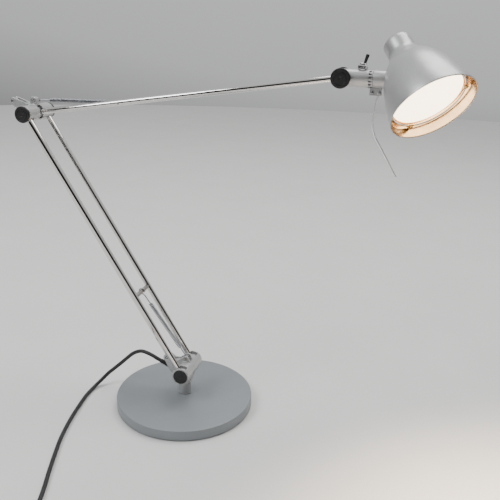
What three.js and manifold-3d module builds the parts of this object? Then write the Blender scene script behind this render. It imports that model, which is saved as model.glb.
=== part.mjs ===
// Architect desk lamp: a weighted disc base, a swivelling bracket, a parallelogram lower arm of two
// tubes and a rod, a single-tube upper arm, two balance springs and a bell shade on a pivoting head.
// Units are millimetres, +Z is up. The origin is the centre of the base underside. The arms move in
// the XZ plane, the head points along +X, and every arm pivot is parallel to Y.
import * as THREE from 'three';
import { mergeVertices } from 'three/addons/utils/BufferGeometryUtils.js';
import Module from 'manifold-3d';

const wasm = await Module();
wasm.setup();

// ---- clearances -----------------------------------------------------------------------------
const GAP = 0.3;            // between pieces that touch or slide
const RUN = 0.4;            // beside a swinging eye

// ---- facets round a full turn -----------------------------------------------------------------
const LARGE = 40;
const ROUND = 26;
const SMALL = 18;
const FINE = 12;

// ---- base -----------------------------------------------------------------------------------
const BASE_R = 100;
const BASE_TOP = 16.4;
const SHELL_FOOT = 1.2;
const SHELL_WALL = 2.2;
const SHELL_BEVEL = 1.2;
const PAD_T = 2.5;
const PAD_R = BASE_R - 4;
const WEIGHT_T = 10.6;
const POCKET_R = 14;
const POCKET_DEPTH = 6;
const WASHER_R = 12;
const WASHER_T = 1.2;
const NUT_AF = 13;
const NUT_T = 3.4;
const STEM_R = 4;
const STEM_TOP = 40;

// ---- arms -----------------------------------------------------------------------------------
const PIVOT_X = 4;          // the base pivot stands a little forward of the swivel axis
const PIVOT_Z = 58.4;
const LOWER_LEN = 420;
const LOWER_LEAN = 31.6;    // degrees back from upright
const UPPER_LEN = 420;
const UPPER_RISE = 8.9;     // degrees above level
const TUBE_R = 4;
const TUBE_BORE_R = 3.2;
const TUBE_SPREAD = 45.2;   // between the two lower tubes
const EYE_W = 2 * TUBE_R + 0.4;   // a little wider than the tube it ends
const SPIGOT_LEN = 12;
const CROSSBAR_AT = 132;    // from the base pivot along the lower arm
const CROSSBAR_R = 3;
const ROD_R = 2.4;
const ROD_EYE_R = 4.6;
const ROD_EYE_W = 6.4;
const LEAD_R = 1.4;
const PIN_INSET = 0.8;      // that the lug pins end short of the lug's faces

// ---- brackets -------------------------------------------------------------------------------
const BARREL_HALF = 29;
const BASE_BARREL_R = 13;
const ELBOW_BARREL_R = 11;
const POST_R = 9.6;
const POST_FOOT_R = 10.2;
const POST_FOOT_T = 1.4;
const PIN_R = 3.2;
const BASE_CAP_R = 10.4;
const BASE_CAP_T = 1.2;
const ELBOW_CAP_R = 10.9;
const ELBOW_CAP_T = 3.4;
const CAP_EDGE = 0.3;       // chamfer, as a share of a cap's thickness
const CAP_PLUG_R = 6;
const CAP_PLUG_T = 1.6;
const LUG_X = -30;          // rod pivot, from the barrel's axis
const LUG_Z = 14;
const LUG_R = 5.2;
const SPRING_LUG_Z = 16.4;  // spring pivot above the barrel's axis
const SPRING_LUG_R = 4.8;
const FORK_GAP = 7.2;
const FORK_WALL = 2.8;
const SPRING_LUG_HALF = 3.8; // half the thickness of the elbow's spring lug
const LUG_PIN_R = 1.9;

// ---- travel, in degrees from rest, that the slots leave room for -----------------------------
const LOWER_BACK = 6;
const LOWER_FORWARD = 45;
const UPPER_UP = 30;
const UPPER_DOWN = 32;
const HEAD_UP = 50;
const HEAD_DOWN = 55;

// ---- springs --------------------------------------------------------------------------------
const SPRING_R = 3;
const SPRING_WIRE_R = 0.8;
const HOOK_R = 3.9;
const LOWER_COIL = [17.5, 98];  // start and end of the coils, from the bracket's lug
const UPPER_COIL = [19, 104];
const UPPER_SPRING_Y = TUBE_R + SPRING_R + 0.4; // the spring runs beside the tube
const UPPER_ANCHOR_AT = 127;    // from the elbow pivot along the upper tube
const ANCHOR_PIN_R = 1.5;

// ---- head -----------------------------------------------------------------------------------
const HEAD_R = 10.8;
const HEAD_LEN = 36.9;
const HEAD_WALL = 2.7;
const HEAD_BORE_R = HEAD_R - HEAD_WALL;
const HEAD_BORE_FROM = 13;
const KNUCKLE_R = HEAD_R - 0.2;
const KNUCKLE_HALF = HEAD_R + 0.2;  // the caps seat clear of the head's round
const HEAD_CAP_R = HEAD_R + 1;
const HEAD_CAP_T = 2.8;
const HEAD_EYE_R = 8.2;
const VENT_COUNT = 16;
const VENT_X = 34;
const VENT_LEN = 3.4;
const VENT_W = 2.3;
const TOGGLE_X = 24.2;
const BUSH_R = 4.1;
const BUSH_TOP = HEAD_R + 7;
const TOGGLE_NUT_R = 5.9;
const TOGGLE_NUT_T = 4.6;
const LEVER_R = 2.1;
const LEVER_LEN = 17;
const LEVER_LEAN = 16;      // degrees from upright
const LEVER_PIVOT_Z = HEAD_R + 0.7;
const SWITCH_HALF_W = 5.6;
const SWITCH_FROM = -5.4;
const SWITCH_TO = 2.6;

// ---- sleeve, clamp and handle ----------------------------------------------------------------
const SLEEVE_FROM = 37.3;
const SLEEVE_R = HEAD_R;    // the sleeve carries on the head's outside
const SLEEVE_SPIGOT = 8;
const STUB_R = 6.4;
const STUB_WALL = 1.6;
const STUB_REACH = 10;      // of the stub past the shade's outer face, along the head's axis
const SHADE_NUT_R = 9.2;
const SHADE_NUT_T = 3.4;
const CLAMP_X = [34.6, 48.6];
const CLAMP_HALF_W = 5.4;
const CLAMP_DEPTH = 7;
const CLAMP_SCREW_X = [37.6, 45.8];
const CLAMP_SCREW_R = 2;
const CLAMP_SCREW_CORE_R = 1.1;
const CLAMP_SCREW_HEAD = 1.4;
const HANDLE_R = 1.35;
const HANDLE_X = 44.4;
// Bends of the wire handle below its clamp, as [x, z] from the head's pivot, chosen by hand.
const HANDLE_BENDS = [[43, -27], [41.2, -42], [41.4, -54], [45, -65.5], [54, -80.2], [74.8, -113.8]];

// ---- shade ----------------------------------------------------------------------------------
const SHADE_SEAT = 50.1;    // where the shade's outer face meets the head's axis
const SHADE_TILT = 29.3;    // degrees that the shade leans back
const SHADE_ROLL = 40.4;    // degrees that the shade is turned to the side
const SHADE_RIM = -40.3;    // rim plane along the shade's axis
const SHADE_R = 52.4;
const SHADE_H = 104.6;
const SHADE_WALL = 1.2;
const NECK_R = 17.6;
const NECK_FROM = 82;       // height of the neck's foot over the rim
// Outside of the bell: share of the way out from the neck's radius to the rim's, and share of the way
// up from the rim to the neck's foot.
const BELL_CURVE = [
  [1, 0], [0.986, 0.049], [0.957, 0.122], [0.905, 0.22], [0.839, 0.329], [0.753, 0.451], [0.644, 0.579],
  [0.511, 0.695], [0.35, 0.805], [0.178, 0.89], [0.068, 0.951],
];
const RING_INSET = 7.8;     // from the rim's radius to the ring's
const RING_R = SHADE_R - RING_INSET;
const RING_AT = 12.4;       // height over the rim
const RING_WIRE_R = 1;
const GLASS_R = RING_R - 2.1;
const GLASS_AT = 15;
const GLASS_T = 2;
const CLIP_COUNT = 3;
const CLIP_FIRST = 118;     // degrees round the shade's axis
const CLIP_HALF_W = 3;
const CLIP_T = 1.6;
const CLIP_SCREW_R = 2;
const REFLECTOR_FROM = 17;
const REFLECTOR_TO = 52;
const REFLECTOR_T = 0.8;
const HOLDER_R = 12.5;
const HOLDER_FROM = 70;
const HOLDER_TO = 99;
const HOLDER_WALL = 2.4;
const HOLDER_DEPTH = 14;
const BULB_R = 22;
const BULB_WALL = 1;
const BULB_AT = 42;         // height of the globe's centre over the rim
const BULB_SHOULDER_R = 11.5;

// ---- cord -----------------------------------------------------------------------------------
const CORD_R = 2.75;
const LIFT = 0.1;            // pieces that lie on the table, over the plane of the base's underside
const RELIEF_LEN = 24;
const RELIEF_FOOT_R = 3.9;
const GLAND_DEPTH = 4;
const GLAND_AT = [-22.6, -3.2];  // on the bracket, from the barrel's axis
const GLAND_RISE = 22;          // degrees above level, pointing back
// Centre line from the strain relief to the coil, chosen by hand.
const CORD_ROUTE = [
  [-37.4, 0, 62.8], [-44, 0.2, 65.6], [-52, 1, 68.7], [-61, 2.3, 70.9], [-70.5, 4, 71], [-79, 5.2, 67.6],
  [-87, 6.4, 62], [-98, 8.4, 51.2], [-108, 10, 41], [-119, 10.6, 30.3], [-130, 9, 19.8],
  [-138.5, 3.5, 10.4], [-143.5, -5, 5.2], [-145.5, -17, 3.1], [-145.6, -32, 2.9], [-142.5, -58, 2.9],
  [-138.5, -84, 2.9], [-133, -112, 2.9], [-125.5, -142, 2.9], [-116, -171, 2.9], [-104.5, -204, 2.9],
  [-93, -235, 2.9], [-83.8, -264, 2.9], [-77, -290.6, 2.9],
];
const COIL_CENTRE = [-33.3, -302.6];
const COIL_MEAN_R = 31.2;
const COIL_COLUMNS = 4;     // turns side by side
const COIL_LAYERS = 2;
const PLUG_LEN = 35;
const PLUG_W = 35;
const PLUG_T = 13.7;
const PLUG_NECK_W = 8;
const PLUG_NECK_LEN = 6;
const PLUG_PIN_LEN = 19;
const PLUG_PIN_R = 2;
const PLUG_PIN_GAP = 18.6;

// ---- materials ------------------------------------------------------------------------------
const material = (color, roughness, metalness) =>
  new THREE.MeshStandardMaterial({ color, roughness, metalness });
const paint = () => material(0xb4b7ba, 0.45, 0.6);
const basePaint = () => material(0x8f9396, 0.5, 0.6);
const chrome = () => material(0xd8d8d8, 0.12, 1);
const steel = () => material(0x8c8f92, 0.4, 1);
const springSteel = () => material(0x6f7375, 0.45, 1);
const blackPlastic = () => material(0x161618, 0.55, 0);
const castIron = () => material(0x3c3c3e, 0.8, 0.6);
const rubber = () => material(0x222224, 0.9, 0);
const reflectorMetal = () => material(0xf0f0ea, 0.25, 0.9);
const ceramic = () => material(0xe9e6dc, 0.5, 0);
const glass = () => material(0xf6f3ea, 0.1, 0);
const brass = () => material(0xb99a4c, 0.35, 1);

// ---- solids ---------------------------------------------------------------------------------
const rad = THREE.MathUtils.degToRad;

function solidOf(geometry) {
  const bare = geometry.index ? geometry.clone() : geometry;
  bare.deleteAttribute('normal');
  bare.deleteAttribute('uv');
  const merged = mergeVertices(bare, 1e-5);
  const mesh = new wasm.Mesh({
    numProp: 3,
    vertProperties: new Float32Array(merged.attributes.position.array),
    triVerts: new Uint32Array(merged.index.array),
  });
  return new wasm.Manifold(mesh);
}

function geometryOf(solid) {
  const mesh = solid.getMesh();
  const geometry = new THREE.BufferGeometry();
  geometry.setAttribute('position', new THREE.BufferAttribute(mesh.vertProperties, 3));
  geometry.setIndex(new THREE.BufferAttribute(mesh.triVerts, 1));
  geometry.computeVertexNormals();
  return geometry;
}

const join = (first, ...others) => others.reduce((sum, other) => sum.add(other), first);
const cut = (first, ...others) => others.reduce((left, other) => left.subtract(other), first);

// Cylinder or ring along Y, between y0 and y1, around the point (x, z).
function barY(r, y0, y1, x = 0, z = 0, sides = SMALL) {
  const bar = new THREE.CylinderGeometry(r, r, y1 - y0, sides);
  bar.translate(x, (y0 + y1) / 2, z);
  return solidOf(bar);
}

// Cylinder along X, between x0 and x1.
function barX(r, x0, x1, y = 0, z = 0, sides = SMALL) {
  const bar = new THREE.CylinderGeometry(r, r, x1 - x0, sides);
  bar.rotateZ(Math.PI / 2);
  bar.translate((x0 + x1) / 2, y, z);
  return solidOf(bar);
}

// Cone or cylinder along Z, radius r0 at z0 and r1 at z1.
function barZ(r0, r1, z0, z1, x = 0, y = 0, sides = SMALL) {
  const bar = new THREE.CylinderGeometry(r1, r0, z1 - z0, sides);
  bar.rotateX(Math.PI / 2);
  bar.translate(x, y, (z0 + z1) / 2);
  return solidOf(bar);
}

function box(x0, x1, y0, y1, z0, z1) {
  const block = new THREE.BoxGeometry(x1 - x0, y1 - y0, z1 - z0);
  block.translate((x0 + x1) / 2, (y0 + y1) / 2, (z0 + z1) / 2);
  return solidOf(block);
}

// Flat plate with an outline of [x, z] points, between y0 and y1.
function plate(points, y0, y1) {
  const outline = new THREE.Shape(points.map(([x, z]) => new THREE.Vector2(x, z)));
  const body = new THREE.ExtrudeGeometry(outline, { depth: y1 - y0, bevelEnabled: false });
  body.rotateX(Math.PI / 2);
  body.translate(0, y1, 0);
  return solidOf(body);
}

// Body of revolution about Z from [radius, z] points that start and end on the axis or close.
function turned(points, sides = ROUND) {
  const lathe = new THREE.LatheGeometry(points.map(([r, z]) => new THREE.Vector2(r, z)), sides);
  lathe.rotateX(Math.PI / 2);
  return solidOf(lathe);
}

// Points of an arc in [x, z], from one angle to another in degrees.
function arc(x, z, r, from, to, steps) {
  const points = [];
  for (let i = 0; i <= steps; i++) {
    const angle = rad(from + (to - from) * i / steps);
    points.push([x + r * Math.cos(angle), z + r * Math.sin(angle)]);
  }
  return points;
}

// Opening that a bar of the given half width sweeps as it swings between two directions.
function sweep(from, to, halfWidth, reach, y0, y1, x = 0, z = 0) {
  const edge = (angle, side, r) => {
    const a = rad(angle);
    return [x + r * Math.cos(a) - side * halfWidth * Math.sin(a),
      z + r * Math.sin(a) + side * halfWidth * Math.cos(a)];
  };
  const outer = arc(x, z, reach, from, to, 4).slice(1, -1);
  return plate([edge(from, -1, 0), edge(from, -1, reach), ...outer, edge(to, 1, reach), edge(to, 1, 0)],
    y0, y1);
}

// Swept bar of round section along a smooth curve through the given points.
function swept(points, r, sides, steps) {
  const circle = [];
  for (let i = 0; i < sides; i++) {
    const angle = 2 * Math.PI * (i + 0.5) / sides;
    circle.push(new THREE.Vector2(r * Math.cos(angle), r * Math.sin(angle)));
  }
  const path = new THREE.CatmullRomCurve3(points.map((p) => new THREE.Vector3(...p)), false, 'centripetal');
  return new THREE.ExtrudeGeometry(new THREE.Shape(circle), { steps, extrudePath: path });
}

function hexagonZ(acrossFlats, z0, z1) {
  const cornerR = acrossFlats / Math.sqrt(3);
  return barZ(cornerR, cornerR, z0, z1, 0, 0, 6);
}

// ---- groups ---------------------------------------------------------------------------------
const lamp = new THREE.Group();

function add(parent, name, shape, finish) {
  const mesh = new THREE.Mesh(shape.isBufferGeometry ? shape : geometryOf(shape), finish);
  mesh.name = name;
  parent.add(mesh);
  return mesh;
}

// A group at a pivot, with its local X axis raised by the given angle.
function armFrame(x, z, rise) {
  const frame = new THREE.Group();
  frame.position.set(x, 0, z);
  frame.rotation.y = -rad(rise);
  lamp.add(frame);
  return frame;
}

const lowerDirection = 90 + LOWER_LEAN;
const elbowX = PIVOT_X + LOWER_LEN * Math.cos(rad(lowerDirection));
const elbowZ = PIVOT_Z + LOWER_LEN * Math.sin(rad(lowerDirection));
const headX = elbowX + UPPER_LEN * Math.cos(rad(UPPER_RISE));
const headZ = elbowZ + UPPER_LEN * Math.sin(rad(UPPER_RISE));

const atBase = armFrame(PIVOT_X, PIVOT_Z, 0);
const alongLower = armFrame(PIVOT_X, PIVOT_Z, lowerDirection);
const atElbow = armFrame(elbowX, elbowZ, 0);
const alongUpper = armFrame(elbowX, elbowZ, UPPER_RISE);
const atHead = armFrame(headX, headZ, 0);
const atShade = new THREE.Group();
atShade.rotation.x = -rad(SHADE_ROLL);
atHead.add(atShade);

const tubeY = TUBE_SPREAD / 2;
const ends = [['near', -1], ['far', 1]];
const slotHalf = EYE_W / 2 + RUN;
const forkHalf = FORK_GAP / 2 + FORK_WALL;
const baseEyeR = BASE_BARREL_R - 2.6;
const elbowEyeR = ELBOW_BARREL_R - 2.2;
const hingeHoleR = PIN_R + GAP;

// ---- base -----------------------------------------------------------------------------------
function buildBase() {
  const shellInnerR = BASE_R - SHELL_WALL;
  const ceiling = BASE_TOP - SHELL_WALL;
  const stemHoleR = STEM_R + GAP;
  const shell = turned([
    [stemHoleR, ceiling], [shellInnerR, ceiling], [shellInnerR, SHELL_FOOT], [BASE_R, SHELL_FOOT],
    [BASE_R, BASE_TOP - SHELL_BEVEL], [BASE_R - SHELL_BEVEL * 0.3, BASE_TOP - SHELL_BEVEL * 0.3],
    [BASE_R - SHELL_BEVEL, BASE_TOP], [stemHoleR, BASE_TOP], [stemHoleR, ceiling],
  ], LARGE);
  const filled = join(shell, barZ(stemHoleR + 1, stemHoleR + 1, ceiling, BASE_TOP));
  add(lamp, 'base_disc', cut(filled, barZ(stemHoleR, stemHoleR, 0, BASE_TOP + 1)), basePaint());

  add(lamp, 'base_pad', barZ(PAD_R, PAD_R, 0, PAD_T, 0, 0, LARGE), rubber());

  const weightFrom = PAD_T + GAP;
  const weightTo = weightFrom + WEIGHT_T;
  const pocketTo = weightFrom + POCKET_DEPTH;
  const weight = cut(
    barZ(shellInnerR - GAP, shellInnerR - GAP, weightFrom, weightTo, 0, 0, LARGE),
    barZ(stemHoleR, stemHoleR, 0, weightTo + 1),
    barZ(POCKET_R, POCKET_R, 0, pocketTo),
  );
  add(lamp, 'base_weight', weight, castIron());

  const washerTo = pocketTo - GAP;
  const washer = cut(barZ(WASHER_R, WASHER_R, washerTo - WASHER_T, washerTo),
    barZ(stemHoleR, stemHoleR, 0, washerTo + 1));
  add(lamp, 'swivel_washer', washer, steel());

  const nutTo = washerTo - WASHER_T - GAP;
  const nut = cut(hexagonZ(NUT_AF, nutTo - NUT_T, nutTo), barZ(stemHoleR, stemHoleR, 0, nutTo + 1));
  add(lamp, 'swivel_nut', nut, steel());

  add(lamp, 'swivel_stem', barZ(STEM_R, STEM_R, nutTo - NUT_T, STEM_TOP), steel());
}

// ---- brackets -------------------------------------------------------------------------------
// A barrel along Y with a pin bore, a recess for the cap in each end, and a slot for each tube eye.
function barrel(radius, eyeR, from, to) {
  const eyeSlots = ends.flatMap(([, side]) => {
    const y0 = side * tubeY - slotHalf;
    const y1 = side * tubeY + slotHalf;
    return [barY(eyeR + RUN, y0, y1), sweep(from, to, TUBE_R + RUN, radius * 1.6, y0, y1)];
  });
  return cut(barY(radius, -BARREL_HALF, BARREL_HALF, 0, 0, ROUND), ...capRecesses(BARREL_HALF), ...eyeSlots);
}

// Recesses for the plugs of a pair of caps.
function capRecesses(half) {
  const floor = half - CAP_PLUG_T - GAP;
  return [barY(CAP_PLUG_R + GAP, floor, half + 1), barY(CAP_PLUG_R + GAP, -half - 1, -floor)];
}

const pinBore = (half) => barY(hingeHoleR, -half - 1, half + 1);

// A cap with its plug in each end of a barrel or knuckle, and the pivot pin between them.
function addCapsAndPin(parent, prefix, half, capR, capT) {
  const seat = half + GAP;
  const face = seat + capT;
  const edge = capT * CAP_EDGE;
  for (const [label, side] of ends) {
    const cap = turned([
      [0, seat - CAP_PLUG_T], [CAP_PLUG_R, seat - CAP_PLUG_T], [CAP_PLUG_R, seat], [capR, seat],
      [capR, face - edge], [capR - edge, face], [0, face],
    ]).rotate([-90 * side, 0, 0]);
    add(parent, `${prefix}_cap_${label}`, cap, blackPlastic());
  }
  const pinHalf = half - CAP_PLUG_T - 2 * GAP;
  add(parent, `${prefix}_pivot_pin`, barY(PIN_R, -pinHalf, pinHalf), steel());
}

// A lug's pin, and the bore for it.
const lugPin = (half, x, z) => barY(LUG_PIN_R, -half, half, x, z, FINE);
const lugBore = (x, z) => barY(LUG_PIN_R + GAP, -BARREL_HALF, BARREL_HALF, x, z, FINE);

// A solid built about +Z, laid along the direction in which the cord leaves the bracket.
function alongCord(solid) {
  return solid.rotate([0, GLAND_RISE - 90, 0]).translate([GLAND_AT[0], 0, GLAND_AT[1]]);
}

function buildBaseBracket() {
  const up = lowerDirection + LOWER_BACK;
  const forward = lowerDirection - LOWER_FORWARD;
  const postFrom = BASE_TOP + GAP - PIVOT_Z;
  const webFoot = -POST_R * 2.4;
  const web = plate([
    ...arc(0, SPRING_LUG_Z, SPRING_LUG_R, 0, 150, 6),
    [-BASE_BARREL_R, BASE_BARREL_R - 0.4], [LUG_X + 10, LUG_Z - 1],
    ...arc(LUG_X, LUG_Z, LUG_R, 70, 235, 6),
    [GLAND_AT[0] - 3, GLAND_AT[1] - 2], [-BASE_BARREL_R - 6, -BASE_BARREL_R],
    [-POST_R - PIVOT_X, webFoot], [POST_R - PIVOT_X, webFoot], [BASE_BARREL_R - 1, 0],
  ], -forkHalf, forkHalf);
  const coilFloor = SPRING_LUG_Z - SPRING_LUG_R - 0.2;
  const rodFloor = LUG_Z - LUG_R - 0.8;
  const above = SPRING_LUG_Z * 2.5;
  const channel = plate([
    [9, above], [9, coilFloor], [-9, coilFloor], [LUG_X + 8, rodFloor], [LUG_X - 20, rodFloor],
    [LUG_X - 20, above],
  ], -FORK_GAP / 2, FORK_GAP / 2);
  const bossR = RELIEF_FOOT_R + 1.6;
  const socketR = RELIEF_FOOT_R + GAP;
  const bracket = cut(
    join(
      barrel(BASE_BARREL_R, baseEyeR, forward, up),
      join(web, alongCord(barZ(bossR, bossR, -GLAND_DEPTH - 5, -0.6))),
      barZ(POST_R, POST_R, postFrom + 1, -BASE_BARREL_R / 2, -PIVOT_X),
      barZ(POST_FOOT_R, POST_FOOT_R, postFrom, postFrom + POST_FOOT_T, -PIVOT_X),
    ),
    channel,
    alongCord(barZ(socketR, socketR, -GLAND_DEPTH - GAP, RELIEF_LEN)),
    pinBore(BARREL_HALF),
    lugBore(LUG_X, LUG_Z),
    lugBore(0, SPRING_LUG_Z),
    barZ(STEM_R + GAP, STEM_R + GAP, postFrom - 1, STEM_TOP + GAP - PIVOT_Z, -PIVOT_X),
  );
  add(atBase, 'base_bracket', bracket, paint());
  addCapsAndPin(atBase, 'base', BARREL_HALF, BASE_CAP_R, BASE_CAP_T);
  add(atBase, 'rod_pin_lower', lugPin(forkHalf - PIN_INSET, LUG_X, LUG_Z), steel());
  add(atBase, 'lower_spring_pin', lugPin(forkHalf - PIN_INSET, 0, SPRING_LUG_Z), steel());
}

function buildElbowBracket() {
  const tubesFrom = lowerDirection + 180 - LOWER_FORWARD;
  const tubesTo = lowerDirection + 180 + LOWER_BACK;
  const lugFoot = ELBOW_BARREL_R * 0.6;
  const lug = plate([
    [SPRING_LUG_R + 0.6, lugFoot], ...arc(0, SPRING_LUG_Z, SPRING_LUG_R, 0, 180, 6),
    [-SPRING_LUG_R - 0.6, lugFoot],
  ], -SPRING_LUG_HALF, SPRING_LUG_HALF);
  const arm = plate([
    ...arc(LUG_X, LUG_Z, LUG_R, 65, 245, 8), [-8, -6], [0, 0], [-3, ELBOW_BARREL_R - 0.6],
  ], -forkHalf, forkHalf);
  const above = SPRING_LUG_Z * 2.5;
  const gap = box(LUG_X - 20, -ELBOW_BARREL_R + GAP, -FORK_GAP / 2, FORK_GAP / 2, -above, above);
  const up = UPPER_RISE + UPPER_UP;
  const down = UPPER_RISE - UPPER_DOWN;
  const bracket = cut(
    join(barrel(ELBOW_BARREL_R, elbowEyeR, tubesFrom, tubesTo), lug, cut(arm, gap)),
    barY(elbowEyeR + RUN, -slotHalf, slotHalf),
    sweep(down, up, TUBE_R + RUN, ELBOW_BARREL_R * 1.8, -slotHalf, slotHalf),
    pinBore(BARREL_HALF),
    lugBore(LUG_X, LUG_Z),
    lugBore(0, SPRING_LUG_Z),
  );
  add(atElbow, 'elbow_bracket', bracket, paint());
  addCapsAndPin(atElbow, 'elbow', BARREL_HALF, ELBOW_CAP_R, ELBOW_CAP_T);
  add(atElbow, 'rod_pin_upper', lugPin(forkHalf - PIN_INSET, LUG_X, LUG_Z), steel());
  const springPin = barY(LUG_PIN_R, -SPRING_LUG_HALF - 0.6, UPPER_SPRING_Y + 2.2, 0, SPRING_LUG_Z, FINE);
  add(atElbow, 'upper_spring_pin', springPin, steel());
}

// ---- tubes ----------------------------------------------------------------------------------
function tube(length, startR, endR, y) {
  const from = startR + GAP;
  const to = length - endR - GAP;
  return cut(barX(TUBE_R, from, to, y, 0, SMALL), barX(TUBE_BORE_R, from - 1, to + 1, y, 0, SMALL));
}

// Flat-sided eye with a bore, and a spigot that plugs into the tube; the tube lies towards +X or -X.
function eye(radius, y, x, towards) {
  const spigotEnds = [x + towards * radius * 0.7, x + towards * (radius + SPIGOT_LEN)];
  const spigot = barX(TUBE_BORE_R - GAP, Math.min(...spigotEnds), Math.max(...spigotEnds), y, 0, FINE);
  return cut(join(barY(radius, y - EYE_W / 2, y + EYE_W / 2, x), spigot),
    barY(hingeHoleR, y - EYE_W, y + EYE_W, x));
}

function buildLowerArm() {
  for (const [label, side] of ends) {
    const y = side * tubeY;
    add(alongLower, `lower_tube_${label}`, tube(LOWER_LEN, baseEyeR, elbowEyeR, y), chrome());
    add(alongLower, `lower_eye_${label}`, eye(baseEyeR, y, 0, 1), steel());
    add(alongLower, `elbow_eye_${label}`, eye(elbowEyeR, y, LOWER_LEN, -1), steel());
  }
  const barHalf = tubeY - TUBE_R - GAP;
  add(alongLower, 'crossbar', barY(CROSSBAR_R, -barHalf, barHalf, CROSSBAR_AT, 0, SMALL), chrome());
  const leadFrom = baseEyeR + SPIGOT_LEN + GAP;
  const leadTo = LOWER_LEN - elbowEyeR - SPIGOT_LEN - GAP;
  add(alongLower, 'lower_lead', barX(LEAD_R, leadFrom, leadTo, -tubeY, 0, FINE), blackPlastic());
}

function buildParallelRod() {
  const rod = armFrame(PIVOT_X + LUG_X, PIVOT_Z + LUG_Z, lowerDirection);
  const bar = join(
    barX(ROD_R, 0, LOWER_LEN, 0, 0, FINE),
    barY(ROD_EYE_R, -ROD_EYE_W / 2, ROD_EYE_W / 2, 0, 0, SMALL),
    barY(ROD_EYE_R, -ROD_EYE_W / 2, ROD_EYE_W / 2, LOWER_LEN, 0, SMALL),
  );
  const holes = [0, LOWER_LEN].map((x) => lugBore(x, 0));
  add(rod, 'parallel_rod', cut(bar, ...holes), chrome());
}

function buildUpperArm() {
  const anchorHole = barY(ANCHOR_PIN_R + GAP, -2 * TUBE_R, 2 * TUBE_R, UPPER_ANCHOR_AT, 0, FINE);
  add(alongUpper, 'upper_tube', cut(tube(UPPER_LEN, elbowEyeR, HEAD_EYE_R, 0), anchorHole), chrome());
  add(alongUpper, 'upper_eye', eye(elbowEyeR, 0, 0, 1), steel());
  add(alongUpper, 'head_eye', eye(HEAD_EYE_R, 0, UPPER_LEN, -1), steel());
  add(alongUpper, 'upper_spring_anchor',
    barY(ANCHOR_PIN_R, -TUBE_R - 0.6, UPPER_SPRING_Y + 2.2, UPPER_ANCHOR_AT, 0, FINE), steel());
}

// ---- springs --------------------------------------------------------------------------------
// A close-wound spring as the body of its outer shape, with a hook ring on each end.
function spring(length, coil, bores, hookRadii, y) {
  const rings = [0, length].map((x, i) => barY(hookRadii[i], y - SPRING_WIRE_R, y + SPRING_WIRE_R, x));
  const solid = join(
    barX(SPRING_WIRE_R, 0, coil[0] + 1, y, 0, FINE),
    barX(SPRING_R, coil[0], coil[1], y),
    barX(SPRING_WIRE_R, coil[1] - 1, length, y, 0, FINE),
    ...rings,
  );
  return cut(solid, ...[0, length].map((x, i) => barY(bores[i], y - HOOK_R, y + HOOK_R, x)));
}

// A spring from a bracket's lug, towards a place along an arm.
function addSpring(name, lug, arm, at, coil, farPinR, farHookR, y) {
  const foot = lamp.worldToLocal(lug.localToWorld(new THREE.Vector3(0, 0, SPRING_LUG_Z)));
  const head = lamp.worldToLocal(arm.localToWorld(new THREE.Vector3(at, 0, 0)));
  const along = head.clone().sub(foot);
  const frame = armFrame(foot.x, foot.z, THREE.MathUtils.radToDeg(Math.atan2(along.z, along.x)));
  const bores = [LUG_PIN_R + GAP, farPinR + GAP];
  add(frame, name, spring(along.length(), coil, bores, [HOOK_R, farHookR], y), springSteel());
}

function buildSprings() {
  lamp.updateMatrixWorld(true);
  addSpring('lower_spring', atBase, alongLower, CROSSBAR_AT, LOWER_COIL, CROSSBAR_R, CROSSBAR_R + 1.9, 0);
  addSpring('upper_spring', atElbow, alongUpper, UPPER_ANCHOR_AT, UPPER_COIL, ANCHOR_PIN_R, HOOK_R,
    UPPER_SPRING_Y);
}

// ---- head -----------------------------------------------------------------------------------
function buildHead() {
  const tubeDirection = 180 + UPPER_RISE;
  const vents = [];
  for (let i = 0; i < VENT_COUNT; i++) {
    const half = VENT_LEN / 2;
    const slot = box(VENT_X - half, VENT_X + half, -VENT_W / 2, VENT_W / 2, HEAD_BORE_R - 1, HEAD_R + 1);
    vents.push(slot.rotate([360 * (i + 0.5) / VENT_COUNT, 0, 0]));
  }
  const body = cut(
    join(
      barX(HEAD_R, 0, HEAD_LEN, 0, 0, ROUND),
      barY(KNUCKLE_R, -KNUCKLE_HALF, KNUCKLE_HALF, 0, 0, ROUND),
    ),
    barX(HEAD_BORE_R, HEAD_BORE_FROM, HEAD_LEN + 1, 0, 0, ROUND),
    barY(HEAD_EYE_R + RUN, -slotHalf, slotHalf),
    sweep(tubeDirection - HEAD_UP, tubeDirection + HEAD_DOWN, TUBE_R + RUN, HEAD_R * 1.9, -slotHalf,
      slotHalf),
    pinBore(KNUCKLE_HALF),
    ...capRecesses(KNUCKLE_HALF),
    barZ(BUSH_R + GAP, BUSH_R + GAP, 0, HEAD_R + 1, TOGGLE_X),
    ...vents,
  );
  add(atHead, 'head_body', body, paint());
  addCapsAndPin(atHead, 'head', KNUCKLE_HALF, HEAD_CAP_R, HEAD_CAP_T);
}

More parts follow.
